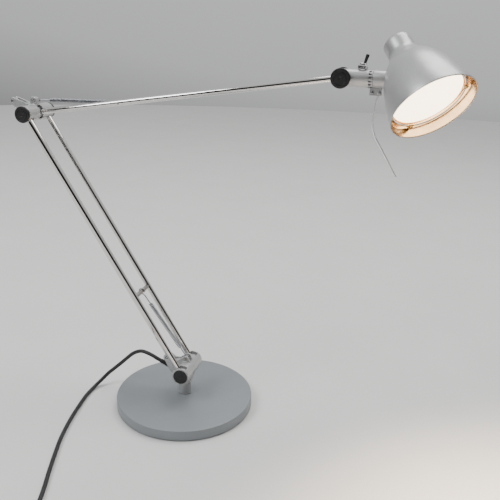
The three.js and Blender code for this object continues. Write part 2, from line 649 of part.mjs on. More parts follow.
function buildSwitch() {
  const bodyTo = SLEEVE_FROM - SLEEVE_SPIGOT - GAP;
  const body = box(HEAD_BORE_FROM + GAP, bodyTo, -SWITCH_HALF_W, SWITCH_HALF_W, SWITCH_FROM, SWITCH_TO);
  add(atHead, 'switch_body', body, blackPlastic());

  const bushing = cut(barZ(BUSH_R, BUSH_R, SWITCH_TO + GAP, BUSH_TOP, TOGGLE_X),
    barZ(LEVER_R + GAP, BUSH_R - 0.6, SWITCH_TO + 1.5, BUSH_TOP + 0.01, TOGGLE_X));
  add(atHead, 'toggle_bushing', bushing, chrome());

  const nutFrom = HEAD_R + GAP;
  const nutTo = nutFrom + TOGGLE_NUT_T;
  const nut = cut(barZ(TOGGLE_NUT_R, TOGGLE_NUT_R - 0.5, nutFrom, nutTo, TOGGLE_X, 0, FINE),
    barZ(BUSH_R + GAP, BUSH_R + GAP, nutFrom - 1, nutTo + 1, TOGGLE_X));
  add(atHead, 'toggle_nut', nut, chrome());

  const lever = turned([
    [0, -3], [LEVER_R * 0.56, -3], [LEVER_R * 0.66, 0], [LEVER_R * 0.7, 6], [LEVER_R, LEVER_LEN - 2],
    [LEVER_R * 0.6, LEVER_LEN], [0, LEVER_LEN],
  ], FINE);
  const leverMesh = add(atHead, 'toggle_lever', lever, blackPlastic());
  leverMesh.position.set(TOGGLE_X, 0, LEVER_PIVOT_Z);
  leverMesh.rotation.y = rad(LEVER_LEAN);
}

// Outline of the shade's outer face as [radius, height over the rim], from the rim to the top.
function shadeOutline(inset) {
  const bell = BELL_CURVE.map(([out, up]) => [NECK_R + out * (SHADE_R - NECK_R), up * NECK_FROM]);
  const outer = [
    ...bell, [NECK_R + 0.7, NECK_FROM - 0.8], [NECK_R, NECK_FROM + 3], [NECK_R - 0.4, SHADE_H - 6],
    [NECK_R - 1.3, SHADE_H - 2.6], [NECK_R - 4, SHADE_H - 0.6], [NECK_R - 8, SHADE_H],
  ];
  if (inset === 0) return outer;
  return outer.map(([r, z], i) => {
    const before = outer[Math.max(i - 1, 0)];
    const after = outer[Math.min(i + 1, outer.length - 1)];
    const dr = after[0] - before[0];
    const dz = after[1] - before[1];
    const size = Math.hypot(dr, dz);
    return [r - inset * dz / size, z + inset * dr / size];
  });
}

// Distance from the shade's outer face to its axis, along the head's axis.
function seatToAxis() {
  const outline = shadeOutline(0);
  const tilt = rad(SHADE_TILT);
  for (let i = 1; i < outline.length; i++) {
    const [[r0, z0], [r1, z1]] = [outline[i - 1], outline[i]];
    // On the head's axis, d from the shade's, the radius is d cos(tilt) and the height d sin(tilt) less
    // SHADE_RIM.
    const slope = (r1 - r0) / (z1 - z0);
    const d = (r0 + slope * (-SHADE_RIM - z0)) / (Math.cos(tilt) - slope * Math.sin(tilt));
    const height = d * Math.sin(tilt) - SHADE_RIM;
    if (height >= z0 && height <= z1) return d;
  }
  throw new Error('The head axis misses the shade: SHADE_RIM or SHADE_TILT is out of reach');
}

const shadeX = SHADE_SEAT + seatToAxis();
const overRim = (height) => SHADE_RIM + height;

// A solid built about the shade's own axis, moved into the frame of the head's turning end.
function onShadeAxis(solid) {
  return solid.rotate([0, -SHADE_TILT, 0]).translate([shadeX, 0, 0]);
}

// The shade filled in, with its outside moved out by a clearance.
function filledShade(clearance) {
  const outside = shadeOutline(-clearance).map(([r, z]) => [r, overRim(z)]);
  return turned([[0, overRim(0)], ...outside, [0, overRim(SHADE_H + clearance)]], LARGE);
}

function shadeShell() {
  const outside = shadeOutline(0).map(([r, z]) => [r, overRim(z)]);
  const inside = shadeOutline(SHADE_WALL).reverse().map(([r, z]) => [r, overRim(Math.max(z, 0))]);
  const top = [[0, overRim(SHADE_H)], [0, overRim(SHADE_H - SHADE_WALL)]];
  return turned([...outside, ...top, ...inside, outside[0]], LARGE);
}

function buildShade() {
  const stubTo = SHADE_SEAT + STUB_REACH;
  const hole = barX(STUB_R + GAP, SHADE_SEAT - 10, stubTo + 10);
  add(atShade, 'shade', cut(onShadeAxis(shadeShell()), hole), paint());

  const collar = cut(barX(SLEEVE_R, SLEEVE_FROM, stubTo, 0, 0, ROUND), onShadeAxis(filledShade(GAP)));
  const spigotFrom = SLEEVE_FROM - SLEEVE_SPIGOT;
  const spigot = barX(HEAD_BORE_R - GAP, spigotFrom, SLEEVE_FROM + 1, 0, 0, ROUND);
  const stub = barX(STUB_R, SLEEVE_FROM, stubTo);
  const wireway = barX(STUB_R - STUB_WALL, spigotFrom - 1, stubTo + 1);
  add(atShade, 'head_sleeve', cut(join(collar, spigot, stub), wireway), paint());

  const nutTo = stubTo - 0.6;
  const nut = cut(barX(SHADE_NUT_R, nutTo - SHADE_NUT_T, nutTo, 0, 0, 6),
    barX(STUB_R + GAP, nutTo - SHADE_NUT_T - 1, nutTo + 1));
  add(atShade, 'shade_nut', nut, steel());

  const band = (inset) => shadeOutline(inset)
    .filter(([, z]) => z > REFLECTOR_FROM && z < REFLECTOR_TO)
    .map(([r, z]) => [r, overRim(z)]);
  const bandOut = band(SHADE_WALL + 0.5);
  const bandIn = band(SHADE_WALL + 0.5 + REFLECTOR_T).reverse();
  const reflector = turned([...bandOut, ...bandIn, bandOut[0]], LARGE);
  add(atShade, 'reflector', onShadeAxis(reflector), reflectorMetal());

  const socketR = HOLDER_R - HOLDER_WALL;
  const socketTo = overRim(HOLDER_FROM + HOLDER_DEPTH);
  const holder = turned([
    [0, socketTo], [socketR, socketTo], [socketR, overRim(HOLDER_FROM)], [HOLDER_R, overRim(HOLDER_FROM)],
    [HOLDER_R, overRim(HOLDER_TO)], [0, overRim(HOLDER_TO)],
  ]);
  add(atShade, 'lamp_holder', onShadeAxis(holder), ceramic());

  const neckR = socketR - 3 * GAP;
  const neckFrom = overRim(HOLDER_FROM - 1.5);
  const neckTo = socketTo - 1;
  const shoulder = overRim(BULB_AT + BULB_R - 2);
  const globe = arc(0, overRim(BULB_AT), BULB_R, -90, 50, 8);
  const hollow = arc(0, overRim(BULB_AT), BULB_R - BULB_WALL, -90, 50, 8).reverse();
  const bulb = turned([
    ...globe, [BULB_SHOULDER_R, shoulder], [neckR, neckFrom], [neckR, neckTo], [neckR - BULB_WALL, neckTo],
    [neckR - BULB_WALL, neckFrom], [BULB_SHOULDER_R - BULB_WALL, shoulder], ...hollow,
  ]);
  add(atShade, 'bulb', onShadeAxis(bulb), glass());

  const disc = barZ(GLASS_R, GLASS_R, overRim(GLASS_AT), overRim(GLASS_AT + GLASS_T), 0, 0, LARGE);
  add(atShade, 'glass_disc', onShadeAxis(disc), glass());

  const wire = arc(RING_R, overRim(RING_AT), RING_WIRE_R, 0, 300, 5);
  add(atShade, 'retaining_ring', onShadeAxis(turned([...wire, wire[0]], LARGE)), steel());

  const tabFrom = RING_R - 4;
  const tabTo = SHADE_R - RING_INSET + 2.6;
  const tabTop = overRim(RING_AT - RING_WIRE_R - GAP);
  for (let i = 0; i < CLIP_COUNT; i++) {
    const tab = box(tabFrom, tabTo, -CLIP_HALF_W, CLIP_HALF_W, tabTop - CLIP_T, tabTop);
    const screwTo = tabTop - CLIP_T + 0.1;
    const middle = (tabFrom + tabTo) / 2;
    const screw = barZ(CLIP_SCREW_R * 0.6, CLIP_SCREW_R, screwTo - 1.4, screwTo, middle, 0, FINE);
    const clip = join(tab, screw).rotate([0, 0, CLIP_FIRST + 360 * i / CLIP_COUNT]);
    add(atShade, `glass_clip_${i + 1}`, onShadeAxis(clip), brass());
  }
}

// The clamp sits on the sleeve like a saddle, and its two screws hold the wire handle.
function buildClampAndHandle() {
  const seatR = SLEEVE_R + GAP;
  const bottom = -seatR - CLAMP_DEPTH;
  const handleTop = -seatR - 2;
  const screwZ = -seatR - CLAMP_DEPTH / 2 - 0.2;
  const screwReach = CLAMP_HALF_W - 2.7;
  const block = cut(
    box(CLAMP_X[0], CLAMP_X[1], -CLAMP_HALF_W, CLAMP_HALF_W, bottom, -SLEEVE_R * 0.7),
    barX(seatR, CLAMP_X[0] - 1, CLAMP_X[1] + 1, 0, 0, ROUND),
    barZ(HANDLE_R + GAP, HANDLE_R + GAP, bottom - 1, handleTop + GAP, HANDLE_X, 0, FINE),
    ...CLAMP_SCREW_X.map((x) =>
      barY(CLAMP_SCREW_CORE_R + GAP, -CLAMP_HALF_W - 1, -screwReach + GAP, x, screwZ, FINE)),
  );
  add(atHead, 'clamp_block', block, paint());
  const seat = -CLAMP_HALF_W - GAP;
  const face = seat - CLAMP_SCREW_HEAD;
  ['front', 'rear'].forEach((label, i) => {
    const x = CLAMP_SCREW_X[i];
    const screw = cut(
      join(
        barY(CLAMP_SCREW_R, face, seat, x, screwZ, FINE),
        barY(CLAMP_SCREW_CORE_R, seat - 0.5, -screwReach, x, screwZ, FINE),
      ),
      box(x - 0.35, x + 0.35, face - 1, face + 0.5, screwZ - 3, screwZ + 3));
    add(atHead, `clamp_screw_${label}`, screw, steel());
  });
  const bends = HANDLE_BENDS.map(([x, z]) => [x, 0, z]);
  const handle = swept([[HANDLE_X, 0, handleTop], [HANDLE_X, 0, bottom - 1], ...bends], HANDLE_R, 8, 18);
  add(atHead, 'wire_handle', handle, chrome());
}

// ---- cord -----------------------------------------------------------------------------------
function buildCord() {
  const relief = turned([
    [0, -GLAND_DEPTH], [RELIEF_FOOT_R, -GLAND_DEPTH], [RELIEF_FOOT_R, 0.6],
    [CORD_R + 0.35, RELIEF_LEN - GLAND_DEPTH], [0, RELIEF_LEN - GLAND_DEPTH],
  ], SMALL);
  add(atBase, 'strain_relief', alongCord(relief), rubber());

  add(lamp, 'cord', swept(CORD_ROUTE, CORD_R, 8, 66), rubber());

  const inner = COIL_MEAN_R - COIL_COLUMNS * CORD_R;
  const outer = COIL_MEAN_R + COIL_COLUMNS * CORD_R;
  const top = COIL_LAYERS * 2 * CORD_R;
  const edge = CORD_R;
  const ring = turned([
    [inner + edge, 0], [outer - edge, 0], [outer, edge], [outer, top - edge], [outer - edge, top],
    [inner + edge, top], [inner, top - edge], [inner, edge], [inner + edge, 0],
  ], LARGE);
  add(lamp, 'cord_coil', ring.translate([COIL_CENTRE[0], COIL_CENTRE[1], LIFT]), rubber());

  const shoulder = PLUG_LEN * 0.66;
  const outline = [
    [0, PLUG_NECK_W / 2], [PLUG_NECK_LEN, PLUG_NECK_W / 2], [shoulder, PLUG_W / 2], [PLUG_LEN, PLUG_W / 2],
  ];
  const mirrored = outline.map(([x, y]) => [x, -y]).reverse();
  const body = plate([...outline, ...mirrored], -PLUG_T / 2, PLUG_T / 2);
  const pins = [-1, 1].map((side) =>
    barX(PLUG_PIN_R, PLUG_LEN - 2, PLUG_LEN + PLUG_PIN_LEN, 0, side * PLUG_PIN_GAP / 2, FINE));
  const plugMesh = add(lamp, 'plug', join(body, ...pins), blackPlastic());
  const lastTurnR = outer - CORD_R;
  const reach = Math.sqrt((outer + GAP) ** 2 - (lastTurnR - PLUG_NECK_W / 2) ** 2);
  plugMesh.rotation.x = Math.PI / 2;
  plugMesh.position.set(COIL_CENTRE[0] + reach, COIL_CENTRE[1] - lastTurnR, LIFT + PLUG_T / 2);
}

buildBase();
buildBaseBracket();
buildElbowBracket();
buildLowerArm();
buildParallelRod();
buildUpperArm();
buildSprings();
buildHead();
buildSwitch();
buildShade();
buildClampAndHandle();
buildCord();

export default lamp;
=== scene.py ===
import math
import bmesh
import bpy
from mathutils import Matrix, Vector


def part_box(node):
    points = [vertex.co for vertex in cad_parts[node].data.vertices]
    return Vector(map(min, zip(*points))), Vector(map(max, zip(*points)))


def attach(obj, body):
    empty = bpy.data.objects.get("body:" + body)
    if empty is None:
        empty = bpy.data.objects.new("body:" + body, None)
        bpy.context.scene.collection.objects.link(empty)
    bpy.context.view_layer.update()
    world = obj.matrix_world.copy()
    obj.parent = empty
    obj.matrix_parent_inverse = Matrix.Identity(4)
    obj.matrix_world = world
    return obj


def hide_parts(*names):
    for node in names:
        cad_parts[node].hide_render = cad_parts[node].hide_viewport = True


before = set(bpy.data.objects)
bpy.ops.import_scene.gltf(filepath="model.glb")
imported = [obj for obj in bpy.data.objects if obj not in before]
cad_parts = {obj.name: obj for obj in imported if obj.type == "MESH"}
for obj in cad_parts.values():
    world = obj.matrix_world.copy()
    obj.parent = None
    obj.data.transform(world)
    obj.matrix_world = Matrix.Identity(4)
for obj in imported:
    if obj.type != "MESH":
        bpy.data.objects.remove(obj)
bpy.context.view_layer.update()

# Lengths are in millimetres until a mesh is scaled to metres, and angles are in degrees. The camera and
# the studio's lights are placed in metres.
MM = 0.001

# ---- sizes of the lamp ----
GAP = 0.3  # clearance between fitted parts
RUN = 0.4  # clearance round a bar that swings
BASE_R, BASE_TOP, SHELL_FOOT, SHELL_WALL = 100, 16.4, 1.2, 2.2
PAD_R, PAD_T = 96, 2.5
STEM_R, STEM_TOP = 4, 40
TUBE_R, TUBE_BORE_R, TUBE_SPREAD = 4, 3.2, 45.2
EYE_W, SPIGOT_LEN = 8.4, 12
CROSSBAR_AT, CROSSBAR_R = 132, 3
ROD_R, ROD_EYE_R, ROD_EYE_W = 2.4, 4.6, 6.4
BARREL_HALF, BASE_BARREL_R, ELBOW_BARREL_R = 29, 13, 11
PIVOT_X = 4
POST_R, POST_FOOT_R, POST_FOOT_T = 9.6, 10.2, 1.4
POST_OVAL = 0.72  # the post's width across over its length
PIN_R = 3.2
BASE_CAP_R, BASE_CAP_T, ELBOW_CAP_R, ELBOW_CAP_T = 10.4, 1.2, 10.9, 3.4
CAP_PLUG_R, CAP_PLUG_T = 6, 1.6
LUG_X, LUG_Z, LUG_R, LUG_PIN_R = -30, 14, 5.2, 1.9
SPRING_LUG_Z, SPRING_LUG_R, SPRING_LUG_HALF = 16.4, 4.8, 3.8
FORK_GAP, FORK_WALL = 7.2, 2.8
LOWER_BACK, LOWER_FORWARD, UPPER_UP, UPPER_DOWN, HEAD_UP, HEAD_DOWN = 6, 45, 30, 32, 50, 55
LOWER_COIL, UPPER_COIL = (17.5, 98), (19, 104)
SPRING_R, SPRING_WIRE_R, SPRING_PITCH, UPPER_SPRING_Y = 3, 0.8, 2.05, 7.4
UPPER_ANCHOR_AT, ANCHOR_PIN_R = 127, 1.5
HEAD_R, HEAD_LEN, HEAD_BORE_R, HEAD_BORE_FROM = 10.8, 36.9, 8.1, 13
KNUCKLE_R, KNUCKLE_HALF, HEAD_CAP_R, HEAD_CAP_T, HEAD_EYE_R = 10.6, 11, 11.8, 2.8, 8.2
VENT_COUNT, VENT_X, VENT_LEN, VENT_W = 16, 34, 3.4, 2.3
TOGGLE_X, BUSH_R, BUSH_TOP, TOGGLE_NUT_R, TOGGLE_NUT_T = 24.2, 4.1, 17.8, 5.9, 4.6
LEVER_R, LEVER_LEN, LEVER_LEAN, LEVER_PIVOT_Z = 2.1, 17, 16, 11.5
SLEEVE_FROM, SLEEVE_R, SLEEVE_SPIGOT, STUB_R, STUB_TO = 37.3, 10.8, 8, 6.4, 60.1
COLLAR_TO = 72  # inside the shade, whose shape is cut from the collar
CLAMP_X, CLAMP_HALF_W, CLAMP_DEPTH = (34.6, 48.6), 5.4, 7
CLAMP_SCREW_X, CLAMP_SCREW_R = (37.6, 45.8), 2
HANDLE_R, HANDLE_X = 1.35, 44.4
SHADE_X, SHADE_TILT, SHADE_ROLL, SHADE_RIM = 89, 29.3, 40.4, -40.3
SHADE_R, SHADE_H, SHADE_WALL, NECK_R, NECK_FROM = 52.4, 104.6, 1.2, 17.6, 82
STUB_HOLE_X = (SHADE_X - 60, SHADE_X - 20)
REFLECTOR_Z = (17, 52)
# The bell's outer line from the rim to the neck, as shares of its widening and of its height.
BELL_CURVE = [
    (1, 0), (0.986, 0.049), (0.957, 0.122), (0.905, 0.22), (0.839, 0.329), (0.753, 0.451), (0.644, 0.579),
    (0.511, 0.695), (0.35, 0.805), (0.178, 0.89), (0.072, 0.95),
]
GLASS_R, GLASS_AT, GLASS_T = 42.5, 15, 2
RING_R, RING_AT, RING_WIRE_R = 44.6, 12.4, 1
CLIP_COUNT, CLIP_FIRST, CLIP_HALF_W = 3, 118, 3
HOLDER_R, HOLDER_FROM, HOLDER_TO, HOLDER_WALL = 12.5, 70, 99, 2.4
BULB_R, BULB_AT, BULB_WALL, BULB_WAIST_R = 22, 42, 1, 11.5
CORD_R, LIFT = 2.75, 0.1
RELIEF_LEN, RELIEF_FOOT_R = 24, 3.9
GLAND_DEPTH, GLAND_AT, GLAND_RISE = 4, (-22.6, -3.2), 22
COIL_CENTRE, COIL_MEAN_R, COIL_COLUMNS = (-33.3, -302.6), 31.2, 4
PLUG_LEN, PLUG_PIN_LEN, PLUG_PIN_R, PLUG_PIN_GAP = 35, 19, 2, 18.6


# ---- places, read from the frame ----
def centre(node):
    low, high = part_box(node)
    return (low + high) / 2 / MM


def shift(x=0.0, y=0.0, z=0.0):
    return Matrix.Translation((x, y, z))


def turned(degrees, axis):
    return Matrix.Rotation(math.radians(degrees), 4, axis)


def placed(point, rise=0.0):
    """The frame at a point, with its X axis raised by an angle in the XZ plane."""
    return Matrix.Translation(point) @ turned(-rise, "Y")


def heading(start, end):
    return math.degrees(math.atan2(end.z - start.z, end.x - start.x))


BASE_PIVOT = centre("base_pivot_pin")
ELBOW_PIVOT = centre("elbow_pivot_pin")
HEAD_PIVOT = centre("head_pivot_pin")
LOWER_RISE = heading(BASE_PIVOT, ELBOW_PIVOT)
UPPER_RISE = heading(ELBOW_PIVOT, HEAD_PIVOT)
LOWER_LEN = (ELBOW_PIVOT - BASE_PIVOT).length
UPPER_LEN = (HEAD_PIVOT - ELBOW_PIVOT).length
AT_BASE = placed(BASE_PIVOT)
ALONG_LOWER = placed(BASE_PIVOT, LOWER_RISE)
AT_ELBOW = placed(ELBOW_PIVOT)
ALONG_UPPER = placed(ELBOW_PIVOT, UPPER_RISE)
AT_HEAD = placed(HEAD_PIVOT)
ROLLED = AT_HEAD @ turned(-SHADE_ROLL, "X")
ON_SHADE = ROLLED @ shift(SHADE_X) @ turned(-SHADE_TILT, "Y")
GLAND = shift(GLAND_AT[0], 0, GLAND_AT[1]) @ turned(GLAND_RISE - 90, "Y")
HERE = Matrix.Identity(4)
ALONG_X = turned(90, "Y")
ALONG_Y = turned(-90, "X")
BACK_Y = turned(90, "X")
SIDES = (("near", -1), ("far", 1))
TUBE_Y = TUBE_SPREAD / 2
SLOT_HALF = EYE_W / 2 + RUN
FORK_HALF = FORK_GAP / 2 + FORK_WALL
LUG_PIN_Y = (0.8 - FORK_HALF, FORK_HALF - 0.8)
ROD_LUG = shift(LUG_X, 0, LUG_Z)
SPRING_LUG = shift(0, 0, SPRING_LUG_Z)
BASE_EYE_R = BASE_BARREL_R - 2.6
ELBOW_EYE_R = ELBOW_BARREL_R - 2.2
HINGE_HOLE_R = PIN_R + GAP
PLUG_LOW, PLUG_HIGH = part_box("plug")
PLUG_AT = Vector((PLUG_LOW.x, (PLUG_LOW.y + PLUG_HIGH.y) / 2, (PLUG_LOW.z + PLUG_HIGH.z) / 2)) / MM


# ---- shapes: (vertices, faces) in millimetres ----
def rounded(corners, steps=4):
    """Points of an outline in which a corner given as (x, y, radius) becomes an arc."""
    points = []
    for i, corner in enumerate(corners):
        if len(corner) < 3:
            points.append(tuple(corner))
            continue
        here = Vector(corner[:2])
        back = Vector(corners[i - 1][:2]) - here
        ahead = Vector(corners[(i + 1) % len(corners)][:2]) - here
        half = back.angle(ahead) / 2
        reach = min(corner[2] / math.tan(half), back.length * 0.49, ahead.length * 0.49)
        radius = reach * math.tan(half)
        middle = here + (back.normalized() + ahead.normalized()).normalized() * (radius / math.sin(half))
        first = here + back.normalized() * reach - middle
        last = here + ahead.normalized() * reach - middle
        start = math.atan2(first.y, first.x)
        turn = (math.atan2(last.y, last.x) - start + math.pi) % (2 * math.pi) - math.pi
        for k in range(steps + 1):
            angle = start + turn * k / steps
            points.append((middle.x + radius * math.cos(angle), middle.y + radius * math.sin(angle)))
    return points


def lathe(profile, count=96, ring=False):
    """Body of revolution about Z of (radius, height) points; a ring's profile closes on itself."""
    verts, faces, rows = [], [], []
    for r, z in profile:
        if r < 1e-6:
            rows.append([len(verts)] * count)
            verts.append((0, 0, z))
            continue
        rows.append(list(range(len(verts), len(verts) + count)))
        for i in range(count):
            angle = 2 * math.pi * i / count
            verts.append((r * math.cos(angle), r * math.sin(angle), z))
    pairs = list(zip(rows, rows[1:]))
    if ring:
        pairs.append((rows[-1], rows[0]))
    for a, b in pairs:
        for i in range(count):
            j = (i + 1) % count
            corners = [a[i], a[j], b[j], b[i]]
            kept = [v for k, v in enumerate(corners) if v != corners[k - 1]]
            if len(kept) > 2:
                faces.append(kept)
    return verts, faces


def spun(corners, steps=4, count=96, ring=False):
    """Body of revolution of an outline with rounded corners."""
    return lathe(rounded(corners, steps), count, ring)


def spun_ring(inner, outer, start, end, inner_edge, outer_edge, count):
    """A tube with its four edges rounded."""
    low = [(inner, start, inner_edge), (outer, start, outer_edge)]
    high = [(outer, end, outer_edge), (inner, end, inner_edge)]
    return spun(low + high, 3, count, True)


def spun_bar(r, start, end, edge, steps, count):
    """A round bar with its two end edges rounded."""
    return spun([(0, start), (r, start, edge), (r, end, edge), (0, end)], steps, count)


def prism(outline, depth):
    """An outline in XY, carried up Z by a depth."""
    n = len(outline)
    verts = [(x, y, 0) for x, y in outline] + [(x, y, depth) for x, y in outline]
    faces = [list(range(n))[::-1], list(range(n, 2 * n))]
    faces += [[i, (i + 1) % n, n + (i + 1) % n, n + i] for i in range(n)]
    return verts, faces


def plate(outline, y0, y1):
    """A flat plate with an outline of (x, z) points, between y0 and y1."""
    verts, faces = prism(outline, y1 - y0)
    return [(x, y0 + d, z) for x, z, d in verts], faces


def block(x0, x1, y0, y1, z0, z1):
    verts, faces = prism([(x0, y0), (x1, y0), (x1, y1), (x0, y1)], z1 - z0)
    return [(x, y, z + z0) for x, y, z in verts], faces


def moved(shape, matrix):
    return [tuple(matrix @ Vector(v)) for v in shape[0]], shape[1]


def bar(r, start, end, matrix=HERE, count=96, end_r=None):
    """Cylinder or cone between two heights on a matrix's Z axis."""
    return moved(lathe([(0, start), (r, start), (end_r or r, end), (0, end)], count), matrix)


def bar_y(r, y0, y1, x=0, z=0, count=96):
    return bar(r, y0, y1, shift(x, 0, z) @ ALONG_Y, count)


def bar_x(r, x0, x1, y=0, z=0, count=96):
    return bar(r, x0, x1, shift(0, y, z) @ ALONG_X, count)


def arc(x, z, r, start, end, steps=12):
    turns = [math.radians(start + (end - start) * i / steps) for i in range(steps + 1)]
    return [(x + r * math.cos(a), z + r * math.sin(a)) for a in turns]


def swing(start, end, half_width, reach, y0, y1):
    """The space a bar sweeps as it turns about Y between two directions."""
    def edge(angle, side, r):
        c, s = math.cos(math.radians(angle)), math.sin(math.radians(angle))
        return (r * c - side * half_width * s, r * s + side * half_width * c)

    middle = arc(0, 0, reach, start, end, 8)[1:-1]
    outline = [edge(start, -1, 0), edge(start, -1, reach), *middle, edge(end, 1, reach), edge(end, 1, 0)]
    return plate(outline, y0, y1)


def smooth_line(points, step):
    """Points along a Catmull-Rom curve through the given ones, about a step apart."""
    knots = [Vector(p) for p in points]
    ends = [knots[0] * 2 - knots[1], *knots, knots[-1] * 2 - knots[-2]]
    line = []
    for a, b, c, d in zip(ends, ends[1:], ends[2:], ends[3:]):
        t1 = (b - a).length ** 0.5
        t2 = t1 + (c - b).length ** 0.5
        t3 = t2 + (d - c).length ** 0.5
        count = max(2, round((c - b).length / step))
        for k in range(count):
            t = t1 + (t2 - t1) * k / count
            ab = a * ((t1 - t) / t1) + b * (t / t1)
            bc = b * ((t2 - t) / (t2 - t1)) + c * ((t - t1) / (t2 - t1))
            cd = c * ((t3 - t) / (t3 - t2)) + d * ((t - t2) / (t3 - t2))
            abc = ab * ((t2 - t) / t2) + bc * (t / t2)
            bcd = bc * ((t3 - t) / (t3 - t1)) + cd * ((t - t1) / (t3 - t1))
            line.append(abc * ((t2 - t) / (t2 - t1)) + bcd * ((t - t1) / (t2 - t1)))
    return [*line, knots[-1]]


def tube(line, radius, sides):
    """Round bar along a line of points, with domed ends."""
    line = [Vector(p) for p in line]
    ways = [(b - a).normalized() for a, b in zip(line, line[1:])]
    ways = [ways[0]] + [(a + b).normalized() for a, b in zip(ways, ways[1:])] + [ways[-1]]
    side = ways[0].orthogonal().normalized()
    verts, faces, rows = [], [], []

    def row(point, way, r):
        nonlocal side
        side = (side - way * side.dot(way)).normalized()
        across = way.cross(side)
        rows.append(list(range(len(verts), len(verts) + sides)))
        for i in range(sides):
            angle = 2 * math.pi * i / sides
            verts.append(tuple(point + (side * math.cos(angle) + across * math.sin(angle)) * r))

    dome = [(0.35, 0.93), (0.7, 0.72), (0.92, 0.4)]
    for share, out in dome:
        row(line[0] - ways[0] * radius * out * 0.5, ways[0], radius * share)
    for point, way in zip(line, ways):
        row(point, way, radius)
    for share, out in reversed(dome):
        row(line[-1] + ways[-1] * radius * out * 0.5, ways[-1], radius * share)
    for a, b in zip(rows, rows[1:]):
        faces += [[a[i], a[(i + 1) % sides], b[(i + 1) % sides], b[i]] for i in range(sides)]
    return verts, [rows[0][::-1], *faces, rows[-1]]


def loft(sections):
    """Closed body through rows of points, all with the same number."""
    count = len(sections[0])
    verts = [tuple(p) for section in sections for p in section]
    faces = [list(range(count))[::-1], list(range(len(verts) - count, len(verts)))]
    for k in range(len(sections) - 1):
        for i in range(count):
            a, b = k * count + i, k * count + (i + 1) % count
            faces.append([a, b, b + count, a + count])
    return verts, faces


# ---- meshes ----
def mesh_of(name, shapes):
    """One mesh from several shapes, still in millimetres, with its faces turned outward."""
    mesh = bpy.data.meshes.new(name)
    verts, faces = [], []
    for shape_verts, shape_faces in shapes:
        start = len(verts)
        verts += shape_verts
        faces += [[start + i for i in face] for face in shape_faces]
    mesh.from_pydata(verts, [], faces)
    work = bmesh.new()
    work.from_mesh(mesh)
    bmesh.ops.remove_doubles(work, verts=work.verts, dist=1e-5)
    bmesh.ops.recalc_face_normals(work, faces=work.faces)
    work.to_mesh(mesh)
    work.free()
    return mesh


def shape_of(mesh):
    return [tuple(v.co) for v in mesh.vertices], [list(p.vertices) for p in mesh.polygons]


def linked(name, data):
    """A new object in the scene."""
    obj = bpy.data.objects.new(name, data)
    bpy.context.scene.collection.objects.link(obj)
    return obj


def evaluated(obj):
    """The object's mesh with its modifiers applied; the object goes."""
    graph = bpy.context.evaluated_depsgraph_get()
    mesh = bpy.data.meshes.new_from_object(obj.evaluated_get(graph))
    bpy.data.objects.remove(obj)
    return mesh


def carved(name, added, removed=(), voxel=None, rounds=6, keep=1.0):
    """The added shapes joined and the removed ones cut away. With a voxel size the result is remeshed and
    smoothed, which gives the soft edges of a casting."""
    obj = linked("work", mesh_of(name, added[:1]))
    tools = []
    for way, shapes in (("UNION", added[1:]), ("DIFFERENCE", removed)):
        for shape in shapes:
            tool = linked("work", mesh_of("tool", [shape]))
            tool.hide_render = True
            tools.append(tool)
            step = obj.modifiers.new("step", "BOOLEAN")
            step.operation = way
            step.solver = "MANIFOLD"
            step.object = tool
    if voxel:
        remesh = obj.modifiers.new("remesh", "REMESH")
        remesh.mode = "VOXEL"
        remesh.voxel_size = voxel
        soft = obj.modifiers.new("soft", "SMOOTH")
        soft.factor = 0.5
        soft.iterations = rounds
        if keep < 1:
            thin = obj.modifiers.new("thin", "DECIMATE")
            thin.ratio = keep
    mesh = evaluated(obj)
    for tool in tools:
        bpy.data.objects.remove(tool)
    return mesh


def piece(name, mesh, matrix, slot, body, nodes=(), sharp=35, bevel=None):
    """A finished piece: mesh in metres, in place, with its material, its body and the nodes it stands for."""
    if not isinstance(mesh, bpy.types.Mesh):
        mesh = mesh_of(name, mesh)
    mesh.name = name
    mesh.transform(Matrix.Scale(MM, 4) @ matrix)
    mesh.shade_smooth()
    mesh.set_sharp_from_angle(angle=math.radians(sharp))
    mesh.materials.clear()
    mesh.materials.append(MATERIALS[slot])
    obj = linked(name, mesh)
    if bevel:
        soft = obj.modifiers.new("edges", "BEVEL")
        soft.width = bevel * MM
        soft.segments = 3
        soft.limit_method = "ANGLE"
        soft.angle_limit = math.radians(sharp)
        soft.harden_normals = True
    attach(obj, body)
    if nodes:
        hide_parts(*nodes)
    return obj


# ---- materials ----
def add(tree, kind, links=(), **values):
    """A node with some of its settings and inputs set, and its links made."""
    node = tree.nodes.new(kind)
    for key, value in values.items():
        if hasattr(node, key):
            setattr(node, key, value)
        else:
            node.inputs[key.replace("_", " ")].default_value = value
    for socket, source in links:
        tree.links.new(source, node.inputs[socket])
    return node


def coordinates(tree, scale, rise=0.0):
    place = add(tree, "ShaderNodeTexCoord")
    mapping = add(tree, "ShaderNodeMapping", [("Vector", place.outputs["Object"])])
    mapping.inputs["Scale"].default_value = scale
    mapping.inputs["Rotation"].default_value = (0, math.radians(rise), 0)
    return mapping.outputs["Vector"]


def speckle(tree, vector, scale, detail, low, high):
    """Noise spread over a range of values."""
    grain = add(tree, "ShaderNodeTexNoise", [("Vector", vector)], Scale=scale, Detail=detail, Roughness=0.55)
    spread = add(tree, "ShaderNodeMapRange", [("Value", grain.outputs["Fac"])])
    spread.inputs["From Min"].default_value = 0.3
    spread.inputs["From Max"].default_value = 0.7
    spread.inputs["To Min"].default_value = low
    spread.inputs["To Max"].default_value = high
    return spread.outputs["Result"]


